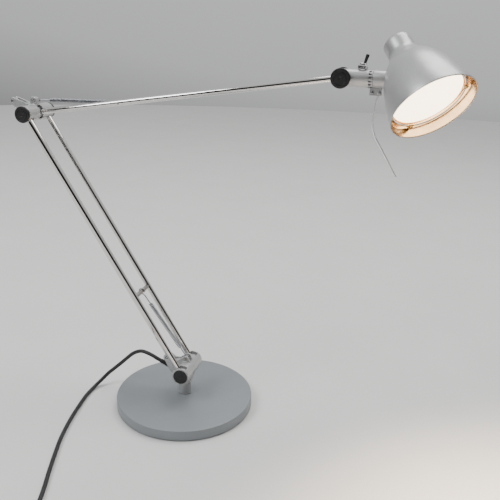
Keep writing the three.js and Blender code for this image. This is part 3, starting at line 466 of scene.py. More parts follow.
def blended(tree, share, first, second):
    mix = add(tree, "ShaderNodeMix", data_type="RGBA")
    tree.links.new(share, mix.inputs[0])
    for socket, value in ((mix.inputs[6], first), (mix.inputs[7], second)):
        if isinstance(value, bpy.types.NodeSocket):
            tree.links.new(value, socket)
        else:
            socket.default_value = (*value, 1)
    return mix.outputs[2]


FLAKE_SCALE = 1400


def scaled(colour, by):
    return tuple(min(1.0, c * by) for c in colour)


def finish_of(name, colour, roughness, metallic=0.0, patches=0.06, patch_scale=35, flakes=0.0, bump=0.15,
              bump_scale=900, bump_depth=0.05, rough_spread=0.05, stretch=(1, 1, 1), rise=0.0):
    """A surface with soft patches of colour, fine flakes, an uneven gloss and a grain."""
    made = bpy.data.materials.new(name)
    made.use_nodes = True
    tree = made.node_tree
    base = tree.nodes["Principled BSDF"]
    vector = coordinates(tree, stretch, rise)
    cloud = speckle(tree, vector, patch_scale, 3, 0, 1)
    tint = blended(tree, cloud, scaled(colour, 1 - patches), scaled(colour, 1 + patches))
    if flakes:
        dots = speckle(tree, vector, FLAKE_SCALE, 1, 0, 1)
        tint = blended(tree, dots, scaled(colour, 1 - flakes), tint)
    tree.links.new(tint, base.inputs["Base Color"])
    gloss = speckle(tree, vector, patch_scale * 2.5, 4, roughness - rough_spread, roughness + rough_spread)
    tree.links.new(gloss, base.inputs["Roughness"])
    base.inputs["Metallic"].default_value = metallic
    grain = add(tree, "ShaderNodeTexNoise", [("Vector", vector)], Scale=bump_scale, Detail=2)
    relief = add(tree, "ShaderNodeBump", [("Height", grain.outputs["Fac"])], Strength=bump,
                 Distance=bump_depth * MM)
    tree.links.new(relief.outputs["Normal"], base.inputs["Normal"])
    return made


def chrome_of(name, rise):
    """Bright drawn tube: fine streaks along its length, and faint fingermarks."""
    return finish_of(name, (0.68, 0.665, 0.65), 0.1, 1.0, patches=0.05, patch_scale=60, bump=0.02,
                     bump_scale=500, stretch=(0.06, 1, 1), rise=rise)


# Each finish: name, colour, roughness, how metallic it is, and what differs from finish_of's defaults.
FINISHES = (
    ("silver_paint", (0.50, 0.50, 0.50), 0.34, 0.5,
     {"patches": 0.04, "flakes": 0.12, "bump": 0.12, "bump_scale": 700, "bump_depth": 0.04}),
    ("base_paint", (0.275, 0.295, 0.31), 0.46, 0.35,
     {"patches": 0.04, "patch_scale": 18, "flakes": 0.1, "bump": 0.2, "bump_scale": 800}),
    ("chrome", (0.84, 0.84, 0.83), 0.16, 1.0, {"patches": 0.05, "bump": 0.02}),
    ("chrome_wire", (0.93, 0.93, 0.92), 0.38, 0.9, {"patches": 0.03, "bump": 0.02}),
    # A darkened copy of chrome for the crossbar: its low colour is painted shade, not a different metal.
    ("chrome_bar", (0.36, 0.34, 0.32), 0.3, 1.0, {"patches": 0.1, "bump": 0.02}),
    ("steel", (0.42, 0.42, 0.42), 0.3, 1.0, {"patches": 0.1, "bump": 0.1, "rough_spread": 0.08}),
    ("spring_steel", (0.34, 0.35, 0.37), 0.34, 1.0,
     {"patches": 0.12, "patch_scale": 200, "bump": 0.08, "rough_spread": 0.08}),
    ("black_plastic", (0.012, 0.012, 0.013), 0.42, 0.0,
     {"patches": 0.3, "bump": 0.5, "bump_scale": 1300, "bump_depth": 0.12, "rough_spread": 0.08}),
    ("rubber", (0.014, 0.014, 0.015), 0.55, 0.0,
     {"patches": 0.3, "patch_scale": 60, "bump": 0.3, "bump_scale": 1600, "bump_depth": 0.06,
      "rough_spread": 0.08}),
    ("cast_iron", (0.06, 0.06, 0.062), 0.7, 0.7,
     {"patches": 0.3, "bump": 0.8, "bump_scale": 400, "bump_depth": 0.3}),
    # The reflector's warm gold colour is painted warm light: it stands for the bulb's glow mirrored inside
    # the shade.
    ("reflector", (0.66, 0.5, 0.33), 0.2, 0.97, {"patches": 0.05, "bump": 0.1, "bump_scale": 300}),
    ("ceramic", (0.75, 0.72, 0.66), 0.4, 0.0, {"patches": 0.05, "bump": 0.2}),
    ("glass", (0.9, 0.87, 0.8), 0.18, 0.0, {"patches": 0.03, "bump": 0.1, "bump_scale": 500}),
    ("brass", (0.55, 0.36, 0.15), 0.3, 1.0, {"patches": 0.15, "bump": 0.15}),
)
MATERIALS = {name: finish_of(name, *values, **extra) for name, *values, extra in FINISHES}
MATERIALS["chrome_lower"] = chrome_of("chrome_lower", LOWER_RISE)
MATERIALS["chrome_upper"] = chrome_of("chrome_upper", UPPER_RISE)
LIT = (1.0, 0.8, 0.56)
glow = MATERIALS["glass"].node_tree.nodes["Principled BSDF"]
glow.inputs["Emission Color"].default_value = (*LIT, 1)
glow.inputs["Emission Strength"].default_value = 6

# ---- camera ----
camera = linked("camera", bpy.data.cameras.new("camera"))
camera.data.lens = 45.30
camera.data.sensor_width = 36
camera.data.clip_start, camera.data.clip_end = 0.02, 50
CAMERA_PAN, CAMERA_DOWN, CAMERA_ROLL = 14.07, 19.01, 1.86
camera.matrix_world = (
    shift(0.28812, -0.77571, 0.52786)
    @ turned(CAMERA_PAN, "Z")
    @ turned(90 - CAMERA_DOWN, "X")
    @ turned(CAMERA_ROLL, "Z")
)
bpy.context.scene.camera = camera


# ---- cord ----
ROUTE = [
    (-35.4, 0, 62.0), (-37.4, 0, 62.8), (-44, 0.2, 65.6), (-52, 1, 68.7), (-61, 2.3, 70.9), (-70.5, 4, 71),
    (-79, 5.2, 67.6), (-87, 6.4, 62), (-98, 8.4, 51.2), (-108, 10, 41), (-119, 10.6, 30.3), (-130, 9, 19.8),
    (-138.5, 3.5, 10.4), (-143.5, -5, 5.2), (-145.5, -17, 3.1), (-145.6, -32, 2.9), (-142.5, -58, 2.9),
    (-138.5, -84, 2.9), (-133, -112, 2.9), (-125.5, -142, 2.9), (-116, -171, 2.9), (-104.5, -204, 2.9),
    (-93, -235, 2.9), (-83.8, -264, 2.9), (-77, -290.6, 2.9),
]
FLOOR_LAYER = LIFT + CORD_R
UPPER_LAYER = FLOOR_LAYER + 2 * CORD_R
COIL_OUT = COIL_MEAN_R + (COIL_COLUMNS - 1) * CORD_R
COIL_IN = COIL_MEAN_R - (COIL_COLUMNS - 1) * CORD_R
# Angles: where the coil starts, where its lower layer ends and the climb starts, where the climb ends and
# the upper layer starts, and where the cord leaves for the plug.
COIL_START, CLIMB_START, CLIMB_END, COIL_END = 194, 1240, 1370, 2430
PITCH = 2 * CORD_R + 0.06


def ease(t):
    t = min(max(t, 0.0), 1.0)
    return t * t * (3 - 2 * t)


def coil_point(angle):
    """The coil's centre line at an angle: inward on the floor, up, and outward on the upper layer."""
    inward = COIL_OUT - PITCH * (angle - COIL_START) / 360
    outward = COIL_OUT - PITCH * (COIL_END - angle) / 360
    r = max(inward, COIL_IN) if angle < (CLIMB_START + CLIMB_END) / 2 else max(outward, COIL_IN)
    z = FLOOR_LAYER + (UPPER_LAYER - FLOOR_LAYER) * ease((angle - CLIMB_START) / (CLIMB_END - CLIMB_START))
    a = math.radians(angle)
    return (COIL_CENTRE[0] + r * math.cos(a), COIL_CENTRE[1] + r * math.sin(a), z)


def build_cord():
    turns = [coil_point(angle) for angle in range(COIL_START, COIL_END + 1, 12)]
    fall = UPPER_LAYER - PLUG_AT.z
    room = PLUG_AT.x - COIL_CENTRE[0]
    tail = [
        (COIL_CENTRE[0] + room * t, PLUG_AT.y, UPPER_LAYER - fall * ease(t)) for t in (0.25, 0.5, 0.75, 0.95)
    ]
    points = [*ROUTE, *turns, *tail, tuple(PLUG_AT + Vector((2.5, 0, 0)))]
    line = smooth_line(points, 2.6)
    curve = bpy.data.curves.new("mains_cord", "CURVE")
    curve.dimensions = "3D"
    curve.bevel_depth = CORD_R * MM
    curve.bevel_resolution = 6
    curve.use_fill_caps = True
    spline = curve.splines.new("POLY")
    spline.points.add(len(line) - 1)
    for knot, point in zip(spline.points, line):
        knot.co = (*(point * MM), 1)
    cord = linked("mains_cord", curve)
    curve.materials.append(MATERIALS["rubber"])
    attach(cord, "bracket")
    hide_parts("cord", "cord_coil")
    length = sum((b - a).length for a, b in zip(line, line[1:])) * MM
    return cord, length, line


def build_relief():
    """Tapered boot with flexing ribs, in the bracket's socket."""
    corners = [(0, -GLAND_DEPTH), (RELIEF_FOOT_R, -GLAND_DEPTH), (RELIEF_FOOT_R, 0.6, 0.3)]
    ribs, pitch, first = 6, 2.9, 1.4
    for i in range(ribs):
        z = first + pitch * i
        r = RELIEF_FOOT_R - 0.1 * i
        neck = r - 0.75
        corners += [(neck, z, 0.2), (r, z + 0.5, 0.3)]
        corners += [(r - 0.05, z + pitch - 0.9, 0.3), (neck, z + pitch - 0.4, 0.2)]
    end = RELIEF_LEN - GLAND_DEPTH
    corners += [(CORD_R + 0.5, end - 1.4, 0.2), (CORD_R + 0.4, end, 0.3), (0, end)]
    boot = spun(corners, 3, 40)
    return piece("cord_boot", [boot], AT_BASE @ GLAND, "rubber", "bracket", ["strain_relief"])


# The plug's body: distance from the cord's end, width, depth, and how square the section is.
PLUG_STATIONS = [
    (0, 6.6, 6.6, 2), (0.5, 7.4, 7.2, 2), (3.4, 7.8, 7.6, 2.1), (3.8, 6.9, 6.7, 2.1), (5.0, 6.9, 6.7, 2.1),
    (5.4, 8.4, 8.0, 2.2), (8, 11.5, 9.4, 2.6), (12, 17, 11.2, 3), (17, 24, 12.8, 3.4), (23, 31.5, 13.6, 4),
    (26, 34.4, 13.7, 4.5), (28, 35, 13.7, 5), (33.6, 35, 13.7, 5), (34.6, 34.4, 13.2, 5), (35, 33, 12, 5),
]
PLUG_SLEEVE_TO = 45  # the insulated part of each pin


def build_plug():
    count = 48

    def section(x, width, depth, power):
        row = []
        for i in range(count):
            a = 2 * math.pi * i / count
            c, s = math.cos(a), math.sin(a)
            row.append((x, width / 2 * math.copysign(abs(c) ** (2 / power), c),
                        depth / 2 * math.copysign(abs(s) ** (2 / power), s)))
        return row

    body = loft([section(*station) for station in PLUG_STATIONS])
    pins = []
    for side in (-1, 1):
        sleeve_r = PLUG_PIN_R - 0.12
        sleeve = spun([(0, PLUG_LEN - 2), (sleeve_r, PLUG_LEN - 2), (sleeve_r, PLUG_SLEEVE_TO, 0.1),
                       (0, PLUG_SLEEVE_TO)], 4, 32)
        tip = PLUG_LEN + PLUG_PIN_LEN
        metal = spun([(0, PLUG_SLEEVE_TO - 0.5), (PLUG_PIN_R, PLUG_SLEEVE_TO, 0.1), (PLUG_PIN_R, tip, 1.4),
                      (0, tip)], 5, 32)
        place = shift(0, side * PLUG_PIN_GAP / 2) @ ALONG_X
        start = len(body[0])
        body = (body[0] + moved(sleeve, place)[0], body[1] + [[start + i for i in f] for f in sleeve[1]])
        pins.append(moved(metal, place))
    at = placed(PLUG_AT)
    plug = piece("mains_plug", [body], at, "black_plastic", "bracket", ["plug"])
    contacts = piece("plug_contacts", pins, at, "steel", "bracket")
    return plug, contacts


def build_tie():
    """Strap round the bundle of turns."""
    centre_r, half_w = COIL_MEAN_R, COIL_COLUMNS * CORD_R + 0.6
    low, high = 0.5, UPPER_LAYER + CORD_R + 0.5
    middle = (low + high) / 2
    tall = (high - low) / 2
    around = 48
    path = []
    for i in range(around):
        a = 2 * math.pi * i / around
        c, s = math.cos(a), math.sin(a)
        path.append((centre_r + half_w * math.copysign(abs(c) ** 0.6, c),
                     middle + tall * math.copysign(abs(s) ** 0.6, s)))
    sections = []
    for i, (r, z) in enumerate(path):
        back, ahead = Vector(path[i - 1]), Vector(path[(i + 1) % around])
        out = Vector(((ahead - back).y, -(ahead - back).x)).normalized()
        row = []
        for across, lift in rounded([(-4, 0, 0.3), (4, 0, 0.3), (4, 0.9, 0.3), (-4, 0.9, 0.3)], 2):
            row.append((r + out.x * (lift - 0.45), across, z + out.y * (lift - 0.45)))
        sections.append(row)
    count = len(sections[0])
    verts = [p for row in sections for p in row]
    faces = []
    for k in range(around):
        for i in range(count):
            a, b = k * count + i, k * count + (i + 1) % count
            c, d = (b + count) % len(verts), (a + count) % len(verts)
            faces.append([a, b, c, d])
    place = shift(*COIL_CENTRE) @ turned(25, "Z")
    return piece("cord_tie", [(verts, faces)], place, "black_plastic", "bracket")


boot = build_relief()
plug, contacts = build_plug()
tie = build_tie()
cord, cord_length, cord_line = build_cord()
print("cord length", round(cord_length, 3))


# ---- base ----
def build_base():
    ceiling = BASE_TOP - SHELL_WALL
    inner = BASE_R - SHELL_WALL
    shell = spun([
        (0, ceiling), (inner, ceiling, 1.5), (inner, SHELL_FOOT, 0.3), (BASE_R, SHELL_FOOT, 0.6),
        (BASE_R, BASE_TOP, 1.5), (0, BASE_TOP),
    ], 6, 200)
    hole = bar(STEM_R + GAP, 0, BASE_TOP + 5, HERE, 48)
    piece("disc_cover", carved("disc_cover", [shell], [hole]), HERE, "base_paint", "base", ["base_disc"], 40)
    groove = 0.7
    pad = spun([
        (0, 0), (52, 0, 0.3), (52.6, groove), (56.4, groove), (57, 0, 0.3), (86, 0, 0.3), (86.6, groove),
        (90.4, groove), (91, 0, 0.3), (PAD_R, 0, 0.6), (PAD_R, PAD_T, 0.4), (0, PAD_T),
    ], 3, 160)
    piece("foot_pad", [pad], HERE, "rubber", "base", ["base_pad"], 40)


# ---- brackets ----
def barrel_cuts(radius, eye_r, start, end):
    cuts = []
    for _, side in SIDES:
        y = side * TUBE_Y
        cuts.append(bar_y(eye_r + RUN, y - SLOT_HALF, y + SLOT_HALF))
        cuts.append(swing(start, end, TUBE_R + RUN, radius * 1.6, y - SLOT_HALF, y + SLOT_HALF))
        face = side * (BARREL_HALF + 1)
        depth = side * (BARREL_HALF - CAP_PLUG_T - GAP)
        cuts.append(bar_y(CAP_PLUG_R + GAP, min(face, depth), max(face, depth), count=64))
    cuts.append(bar_y(HINGE_HOLE_R, -BARREL_HALF - 2, BARREL_HALF + 2, count=48))
    return cuts


def lug_holes():
    return [
        bar_y(LUG_PIN_R + GAP, -40, 40, LUG_X, LUG_Z, 32),
        bar_y(LUG_PIN_R + GAP, -40, 40, 0, SPRING_LUG_Z, 32),
    ]


def caps(name, node, radius, half, thick, matrix, body):
    """The pressed-in caps at both ends of a barrel, with a ring groove and a small dimple in each face."""
    seat = half + GAP
    face = seat + thick
    groove_in, groove_out, floor = radius * 0.60, radius * 0.69, face - 0.45
    corners = [
        (0, seat - CAP_PLUG_T), (CAP_PLUG_R, seat - CAP_PLUG_T, 0.3), (CAP_PLUG_R, seat), (radius, seat, 0.3),
        (radius, face, min(1.0, thick * 0.4)), (groove_out, face, 0.15), (groove_out - 0.2, floor, 0.12),
        (groove_in + 0.2, floor, 0.12), (groove_in, face, 0.15), (2.0, face, 0.2), (1.3, face - 0.6, 0.3),
        (0, face - 0.7),
    ]
    for label, side in SIDES:
        way = ALONG_Y if side > 0 else BACK_Y
        shape = [spun(corners, 5)]
        piece(f"{name}_{label}", shape, matrix @ way, "black_plastic", body, [f"{node}_{label}"], 50)


def pin(name, node, radius, y0, y1, matrix, body):
    """Rivet with slightly domed ends."""
    dome = 0.5
    corners = [(0, y0 - dome * 0.4), (radius * 0.6, y0 - dome * 0.25, 0.5), (radius, y0 + 0.1, 0.3),
               (radius, y1 - 0.1, 0.3), (radius * 0.6, y1 + dome * 0.25, 0.5), (0, y1 + dome * 0.4)]
    piece(name, [spun(corners, 3, 40)], matrix @ ALONG_Y, "steel", body, [node])


def build_base_bracket():
    start, end = LOWER_RISE - LOWER_FORWARD, LOWER_RISE + LOWER_BACK
    post_from = BASE_TOP + GAP - BASE_PIVOT.z
    web = plate([
        *arc(0, SPRING_LUG_Z, SPRING_LUG_R, 0, 150), (-13, 12.6), (-20, 13),
        *arc(LUG_X, LUG_Z, LUG_R, 70, 235),
        (-25.6, -5.2), (-19, -13), (-POST_R - PIVOT_X, -23), (POST_R - PIVOT_X, -23), (BASE_BARREL_R - 1, 0),
    ], -FORK_HALF, FORK_HALF)
    gap = [(9, 40), (9, 11.4), (-9, 11.4), (-22, 8), (-50, 8), (-50, 40)]
    channel = plate(gap, -FORK_GAP / 2, FORK_GAP / 2)
    boss = bar(RELIEF_FOOT_R + 1.6, -GLAND_DEPTH - 5, -0.6, GLAND, 48, RELIEF_FOOT_R + 1.4)
    socket = bar(RELIEF_FOOT_R + GAP, -GLAND_DEPTH - GAP, 20, GLAND, 48)
    post = shift(-PIVOT_X)
    oval = post @ Matrix.Diagonal((1, POST_OVAL, 1, 1))
    added = [
        bar_y(BASE_BARREL_R, -BARREL_HALF, BARREL_HALF), web, boss,
        bar(POST_R, post_from + 1, -BASE_BARREL_R / 2, oval, 72, POST_R + 0.6),
        bar(POST_FOOT_R, post_from, post_from + POST_FOOT_T, oval, 72),
    ]
    removed = [
        *barrel_cuts(BASE_BARREL_R, BASE_EYE_R, start, end), channel, socket, *lug_holes(),
        bar(STEM_R + GAP, post_from - 3, STEM_TOP + GAP - BASE_PIVOT.z, post, 48),
    ]
    mesh = carved("bracket_casting", added, removed, 0.42, 7, 0.4)
    piece("bracket_casting", mesh, AT_BASE, "silver_paint", "bracket", ["base_bracket"], 60)
    caps("bracket_cap", "base_cap", BASE_CAP_R, BARREL_HALF, BASE_CAP_T, AT_BASE, "bracket")
    half = BARREL_HALF - CAP_PLUG_T - 2 * GAP
    pin("bracket_pivot", "base_pivot_pin", PIN_R, -half, half, AT_BASE, "bracket")
    rod, spring = AT_BASE @ ROD_LUG, AT_BASE @ SPRING_LUG
    pin("rod_rivet_lower", "rod_pin_lower", LUG_PIN_R, *LUG_PIN_Y, rod, "bracket")
    pin("spring_rivet_lower", "lower_spring_pin", LUG_PIN_R, *LUG_PIN_Y, spring, "bracket")


def build_elbow_bracket():
    start, end = LOWER_RISE + 180 - LOWER_FORWARD, LOWER_RISE + 180 + LOWER_BACK
    lug = plate([
        (5.4, ELBOW_BARREL_R * 0.6), *arc(0, SPRING_LUG_Z, SPRING_LUG_R, 0, 180),
        (-5.4, ELBOW_BARREL_R * 0.6),
    ], -SPRING_LUG_HALF, SPRING_LUG_HALF)
    arm = plate([
        *arc(LUG_X, LUG_Z, LUG_R, 65, 245), (-8, -6), (0, 0), (-3, ELBOW_BARREL_R - 0.6),
    ], -FORK_HALF, FORK_HALF)
    gap = block(LUG_X - 20, -ELBOW_BARREL_R + 0.3, -FORK_GAP / 2, FORK_GAP / 2, -40, 40)
    fork = shape_of(carved("fork", [arm], [gap]))
    slot = [
        bar_y(ELBOW_EYE_R + RUN, -SLOT_HALF, SLOT_HALF),
        swing(UPPER_RISE - UPPER_DOWN, UPPER_RISE + UPPER_UP, TUBE_R + RUN, 20, -SLOT_HALF, SLOT_HALF),
    ]
    removed = [*barrel_cuts(ELBOW_BARREL_R, ELBOW_EYE_R, start, end), *slot, *lug_holes()]
    barrel = bar_y(ELBOW_BARREL_R, -BARREL_HALF, BARREL_HALF)
    mesh = carved("elbow_casting", [barrel, lug, fork], removed, 0.4, 7, 0.4)
    piece("elbow_casting", mesh, AT_ELBOW, "silver_paint", "elbow", ["elbow_bracket"], 60)
    caps("joint_cap", "elbow_cap", ELBOW_CAP_R, BARREL_HALF, ELBOW_CAP_T, AT_ELBOW, "elbow")
    half = BARREL_HALF - CAP_PLUG_T - 2 * GAP
    pin("elbow_pivot", "elbow_pivot_pin", PIN_R, -half, half, AT_ELBOW, "elbow")
    pin("rod_rivet_upper", "rod_pin_upper", LUG_PIN_R, *LUG_PIN_Y, AT_ELBOW @ ROD_LUG, "elbow")
    pin("spring_rivet_upper", "upper_spring_pin", LUG_PIN_R, -SPRING_LUG_HALF - 0.6, UPPER_SPRING_Y + 2.2,
        AT_ELBOW @ SPRING_LUG, "elbow")


# ---- arms ----
def pipe(start, end):
    return moved(spun_ring(TUBE_BORE_R, TUBE_R, start, end, 0.2, 0.35, 64), ALONG_X)


def eye(radius, x, towards):
    """Flat-sided tube end with a bore, and the spigot that plugs into the tube."""
    ring = moved(spun_ring(HINGE_HOLE_R, radius, -EYE_W / 2, EYE_W / 2, 0.3, 0.5, 80), shift(x) @ ALONG_Y)
    ends = sorted((x + towards * radius * 0.7, x + towards * (radius + SPIGOT_LEN)))
    spigot = bar_x(TUBE_BORE_R - GAP, *ends, count=48)
    return carved("eye", [ring, spigot], [bar_y(HINGE_HOLE_R, -EYE_W, EYE_W, x, 0, 80)])


def build_arms():
    for label, side in SIDES:
        beside = ALONG_LOWER @ shift(0, side * TUBE_Y)
        shape = pipe(BASE_EYE_R + GAP, LOWER_LEN - ELBOW_EYE_R - GAP)
        foot = eye(BASE_EYE_R, 0, 1)
        tip = eye(ELBOW_EYE_R, LOWER_LEN, -1)
        piece(f"arm_tube_{label}", [shape], beside, "chrome_lower", "lower_arm", [f"lower_tube_{label}"])
        piece(f"arm_foot_{label}", foot, beside, "steel", "lower_arm", [f"lower_eye_{label}"])
        piece(f"arm_tip_{label}", tip, beside, "steel", "lower_arm", [f"elbow_eye_{label}"])
    half = TUBE_Y - TUBE_R + 0.35
    cross = spun_bar(CROSSBAR_R, -half, half, 0.2, 3, 64)
    cross_at = ALONG_LOWER @ shift(CROSSBAR_AT) @ ALONG_Y
    # The crossbar wears the darkened chrome, whose low colour is painted shade.
    piece("arm_crossbar", [cross], cross_at, "chrome_bar", "lower_arm", ["crossbar"])

    rod_at = placed(BASE_PIVOT + Vector((LUG_X, 0, LUG_Z)), LOWER_RISE)
    bars = [bar_x(ROD_R, 0, LOWER_LEN, count=48)]
    holes = []
    for x in (0, LOWER_LEN):
        rod_eye = spun_bar(ROD_EYE_R, -ROD_EYE_W / 2, ROD_EYE_W / 2, 0.5, 4, 64)
        bars.append(moved(rod_eye, shift(x) @ ALONG_Y))
        holes.append(bar_y(LUG_PIN_R + GAP, -9, 9, x, 0, 40))
    piece("link_rod", carved("link_rod", bars, holes), rod_at, "chrome_lower", "rod", ["parallel_rod"])

    shape = pipe(ELBOW_EYE_R + GAP, UPPER_LEN - HEAD_EYE_R - GAP)
    hole = bar_y(ANCHOR_PIN_R + GAP, -20, 20, UPPER_ANCHOR_AT, 0, 32)
    upper = carved("upper_pipe", [shape], [hole])
    foot = eye(ELBOW_EYE_R, 0, 1)
    tip = eye(HEAD_EYE_R, UPPER_LEN, -1)
    piece("upper_pipe", upper, ALONG_UPPER, "chrome_upper", "upper_arm", ["upper_tube"])
    piece("upper_foot", foot, ALONG_UPPER, "steel", "upper_arm", ["upper_eye"])
    piece("upper_tip", tip, ALONG_UPPER, "steel", "upper_arm", ["head_eye"])
    pin("spring_anchor", "upper_spring_anchor", ANCHOR_PIN_R, -TUBE_R - 0.6, UPPER_SPRING_Y + 2.2,
        ALONG_UPPER @ shift(UPPER_ANCHOR_AT), "upper_arm")


# ---- springs ----
def spring_line(length, coil, hook_a, hook_b):
    """Centre line of an extension spring along X: hook, straight, coils, straight, hook."""
    mean = SPRING_R - SPRING_WIRE_R
    line = [(hook_a * math.cos(a), 0, hook_a * math.sin(a))
            for a in (math.radians(d) for d in range(35, 331, 12))]
    line += [(hook_a + 0.9, 0, -0.5), (hook_a + 2.6, 0, 0), (coil[0] - 2.4, 0, 0)]
    start, end = coil[0] + SPRING_WIRE_R, coil[1] - SPRING_WIRE_R
    turns = round((end - start) / SPRING_PITCH)
    per_turn = 16
    for i in range(turns * per_turn + 1):
        t = i / per_turn
        r = mean * min(1.0, max(t, 0.05) / 0.5, max(turns - t, 0.05) / 0.5)
        a = 2 * math.pi * t
        line.append((start + (end - start) * t / turns, r * math.cos(a), r * math.sin(a)))
    line += [(coil[1] + 2.4, 0, 0), (length - hook_b - 2.6, 0, 0), (length - hook_b - 0.9, 0, 0.5)]
    line += [(length - hook_b * math.cos(a), 0, hook_b * math.sin(a))
             for a in (math.radians(d) for d in range(30, 326, 12))]
    return line


def build_springs():
    """Both springs, each from a bracket's spring pin to the crossbar or the anchor on its arm."""
    for label, body, start, along, at, coil, far_hook, y in (
        ("lower", "spring_lower", BASE_PIVOT, ALONG_LOWER, CROSSBAR_AT, LOWER_COIL, CROSSBAR_R + 1.1, 0),
        ("upper", "spring_upper", ELBOW_PIVOT, ALONG_UPPER, UPPER_ANCHOR_AT, UPPER_COIL, ANCHOR_PIN_R + 1.2,
         UPPER_SPRING_Y),
    ):
        start = start + Vector((0, 0, SPRING_LUG_Z))
        end = along @ Vector((at, 0, 0))
        line = smooth_line(spring_line((end - start).length, coil, LUG_PIN_R + 1.2, far_hook), 0.8)
        place = placed(start, heading(start, end)) @ shift(0, y)
        wire = tube(line, SPRING_WIRE_R, 10)
        piece(f"balance_spring_{label}", [wire], place, "spring_steel", body, [f"{label}_spring"], 60)


# ---- head ----
def build_head():
    direction = 180 + UPPER_RISE
    vents = []
    for i in range(VENT_COUNT):
        ends = (VENT_X - VENT_LEN / 2, VENT_X + VENT_LEN / 2)
        slot = block(*ends, -VENT_W / 2, VENT_W / 2, HEAD_BORE_R - 1, HEAD_R + 2)
        vents.append(moved(slot, turned(360 * (i + 0.5) / VENT_COUNT, "X")))
    seat = KNUCKLE_HALF - CAP_PLUG_T - GAP
    removed = [
        bar_x(HEAD_BORE_R, HEAD_BORE_FROM, HEAD_LEN + 2),
        bar_y(HEAD_EYE_R + RUN, -SLOT_HALF, SLOT_HALF),
        swing(direction - HEAD_UP, direction + HEAD_DOWN, TUBE_R + RUN, 20, -SLOT_HALF, SLOT_HALF),
        bar_y(HINGE_HOLE_R, -KNUCKLE_HALF - 2, KNUCKLE_HALF + 2, count=48),
        bar_y(CAP_PLUG_R + GAP, seat, KNUCKLE_HALF + 2, count=64),
        bar_y(CAP_PLUG_R + GAP, -KNUCKLE_HALF - 2, -seat, count=64),
        bar(BUSH_R + GAP, 0, HEAD_R + 4, shift(TOGGLE_X), 48),
        *vents,
    ]
    added = [bar_x(HEAD_R, 0, HEAD_LEN), bar_y(KNUCKLE_R, -KNUCKLE_HALF, KNUCKLE_HALF)]
    mesh = carved("head_casting", added, removed, 0.3, 4, 0.4)
    piece("head_casting", mesh, AT_HEAD, "silver_paint", "head", ["head_body"], 60)
    caps("tilt_cap", "head_cap", HEAD_CAP_R, KNUCKLE_HALF, HEAD_CAP_T, AT_HEAD, "head")
    half = KNUCKLE_HALF - CAP_PLUG_T - 2 * GAP
    pin("tilt_pivot", "head_pivot_pin", PIN_R, -half, half, AT_HEAD, "head")


def build_switch():
    at = AT_HEAD @ shift(TOGGLE_X)
    foot = HEAD_R + GAP
    head = foot + TOGGLE_NUT_T
    bush = spun([
        (LEVER_R + GAP, 4.2), (BUSH_R, 2.9, 0.2), (BUSH_R, head + 0.2), (BUSH_R - 0.25, head + 0.5),
        (BUSH_R, head + 0.8), (BUSH_R, BUSH_TOP, 0.4), (3.5, BUSH_TOP, 0.3),
    ], 3, 64, True)
    piece("switch_bushing", [bush], at, "chrome", "head", ["toggle_bushing"])
    grooves, rows = 40, []
    for z, grow in ((foot, -0.3), (foot + 0.3, 0), (head - 0.6, 0), (head, -0.5)):
        row = []
        for i in range(grooves * 4):
            a = 2 * math.pi * i / (grooves * 4)
            r = TOGGLE_NUT_R + grow - (0.16 if i % 4 in (0, 1) else 0)
            row.append((r * math.cos(a), r * math.sin(a), z))
        rows.append(row)
    hole = bar(BUSH_R + GAP, foot - 2, foot + 9, HERE, 64)
    piece("switch_nut", carved("switch_nut", [loft(rows)], [hole]), at, "chrome", "head", ["toggle_nut"], 30)
    lever = spun([
        (0, -3), (LEVER_R * 0.56, -3, 0.4), (LEVER_R * 0.66, 0), (LEVER_R * 0.72, 6),
        (LEVER_R * 1.02, LEVER_LEN - 2), (LEVER_R * 0.98, LEVER_LEN, 1.1), (0, LEVER_LEN),
    ], 5, 48)
    lean = shift(0, 0, LEVER_PIVOT_Z) @ turned(LEVER_LEAN, "Y")
    piece("switch_lever", [lever], at @ lean, "black_plastic", "toggle", ["toggle_lever"])


def shade_outline():
    """Outer outline of the shade from its rim to its top, as (radius, height over the rim)."""
    bell = [(NECK_R + out * (SHADE_R - NECK_R), up * NECK_FROM) for out, up in BELL_CURVE]
    return [
        *bell, (NECK_R + 0.9, NECK_FROM - 0.8), (NECK_R + 0.1, NECK_FROM + 2.6), (NECK_R - 0.2, SHADE_H - 6),
        (NECK_R - 0.7, SHADE_H - 2.6), (NECK_R - 2.2, SHADE_H - 0.9), (NECK_R - 4.6, SHADE_H - 0.2),
        (NECK_R - 9, SHADE_H),
    ]


def offset(points, inset):
    moved_in = []
    for i, (r, z) in enumerate(points):
        before, after = points[max(i - 1, 0)], points[min(i + 1, len(points) - 1)]
        dr, dz = after[0] - before[0], after[1] - before[1]
        size = math.hypot(dr, dz)
        moved_in.append((r - inset * dz / size, z + inset * dr / size))
    return moved_in


def over_rim(points):
    return [(r, z + SHADE_RIM) for r, z in points]


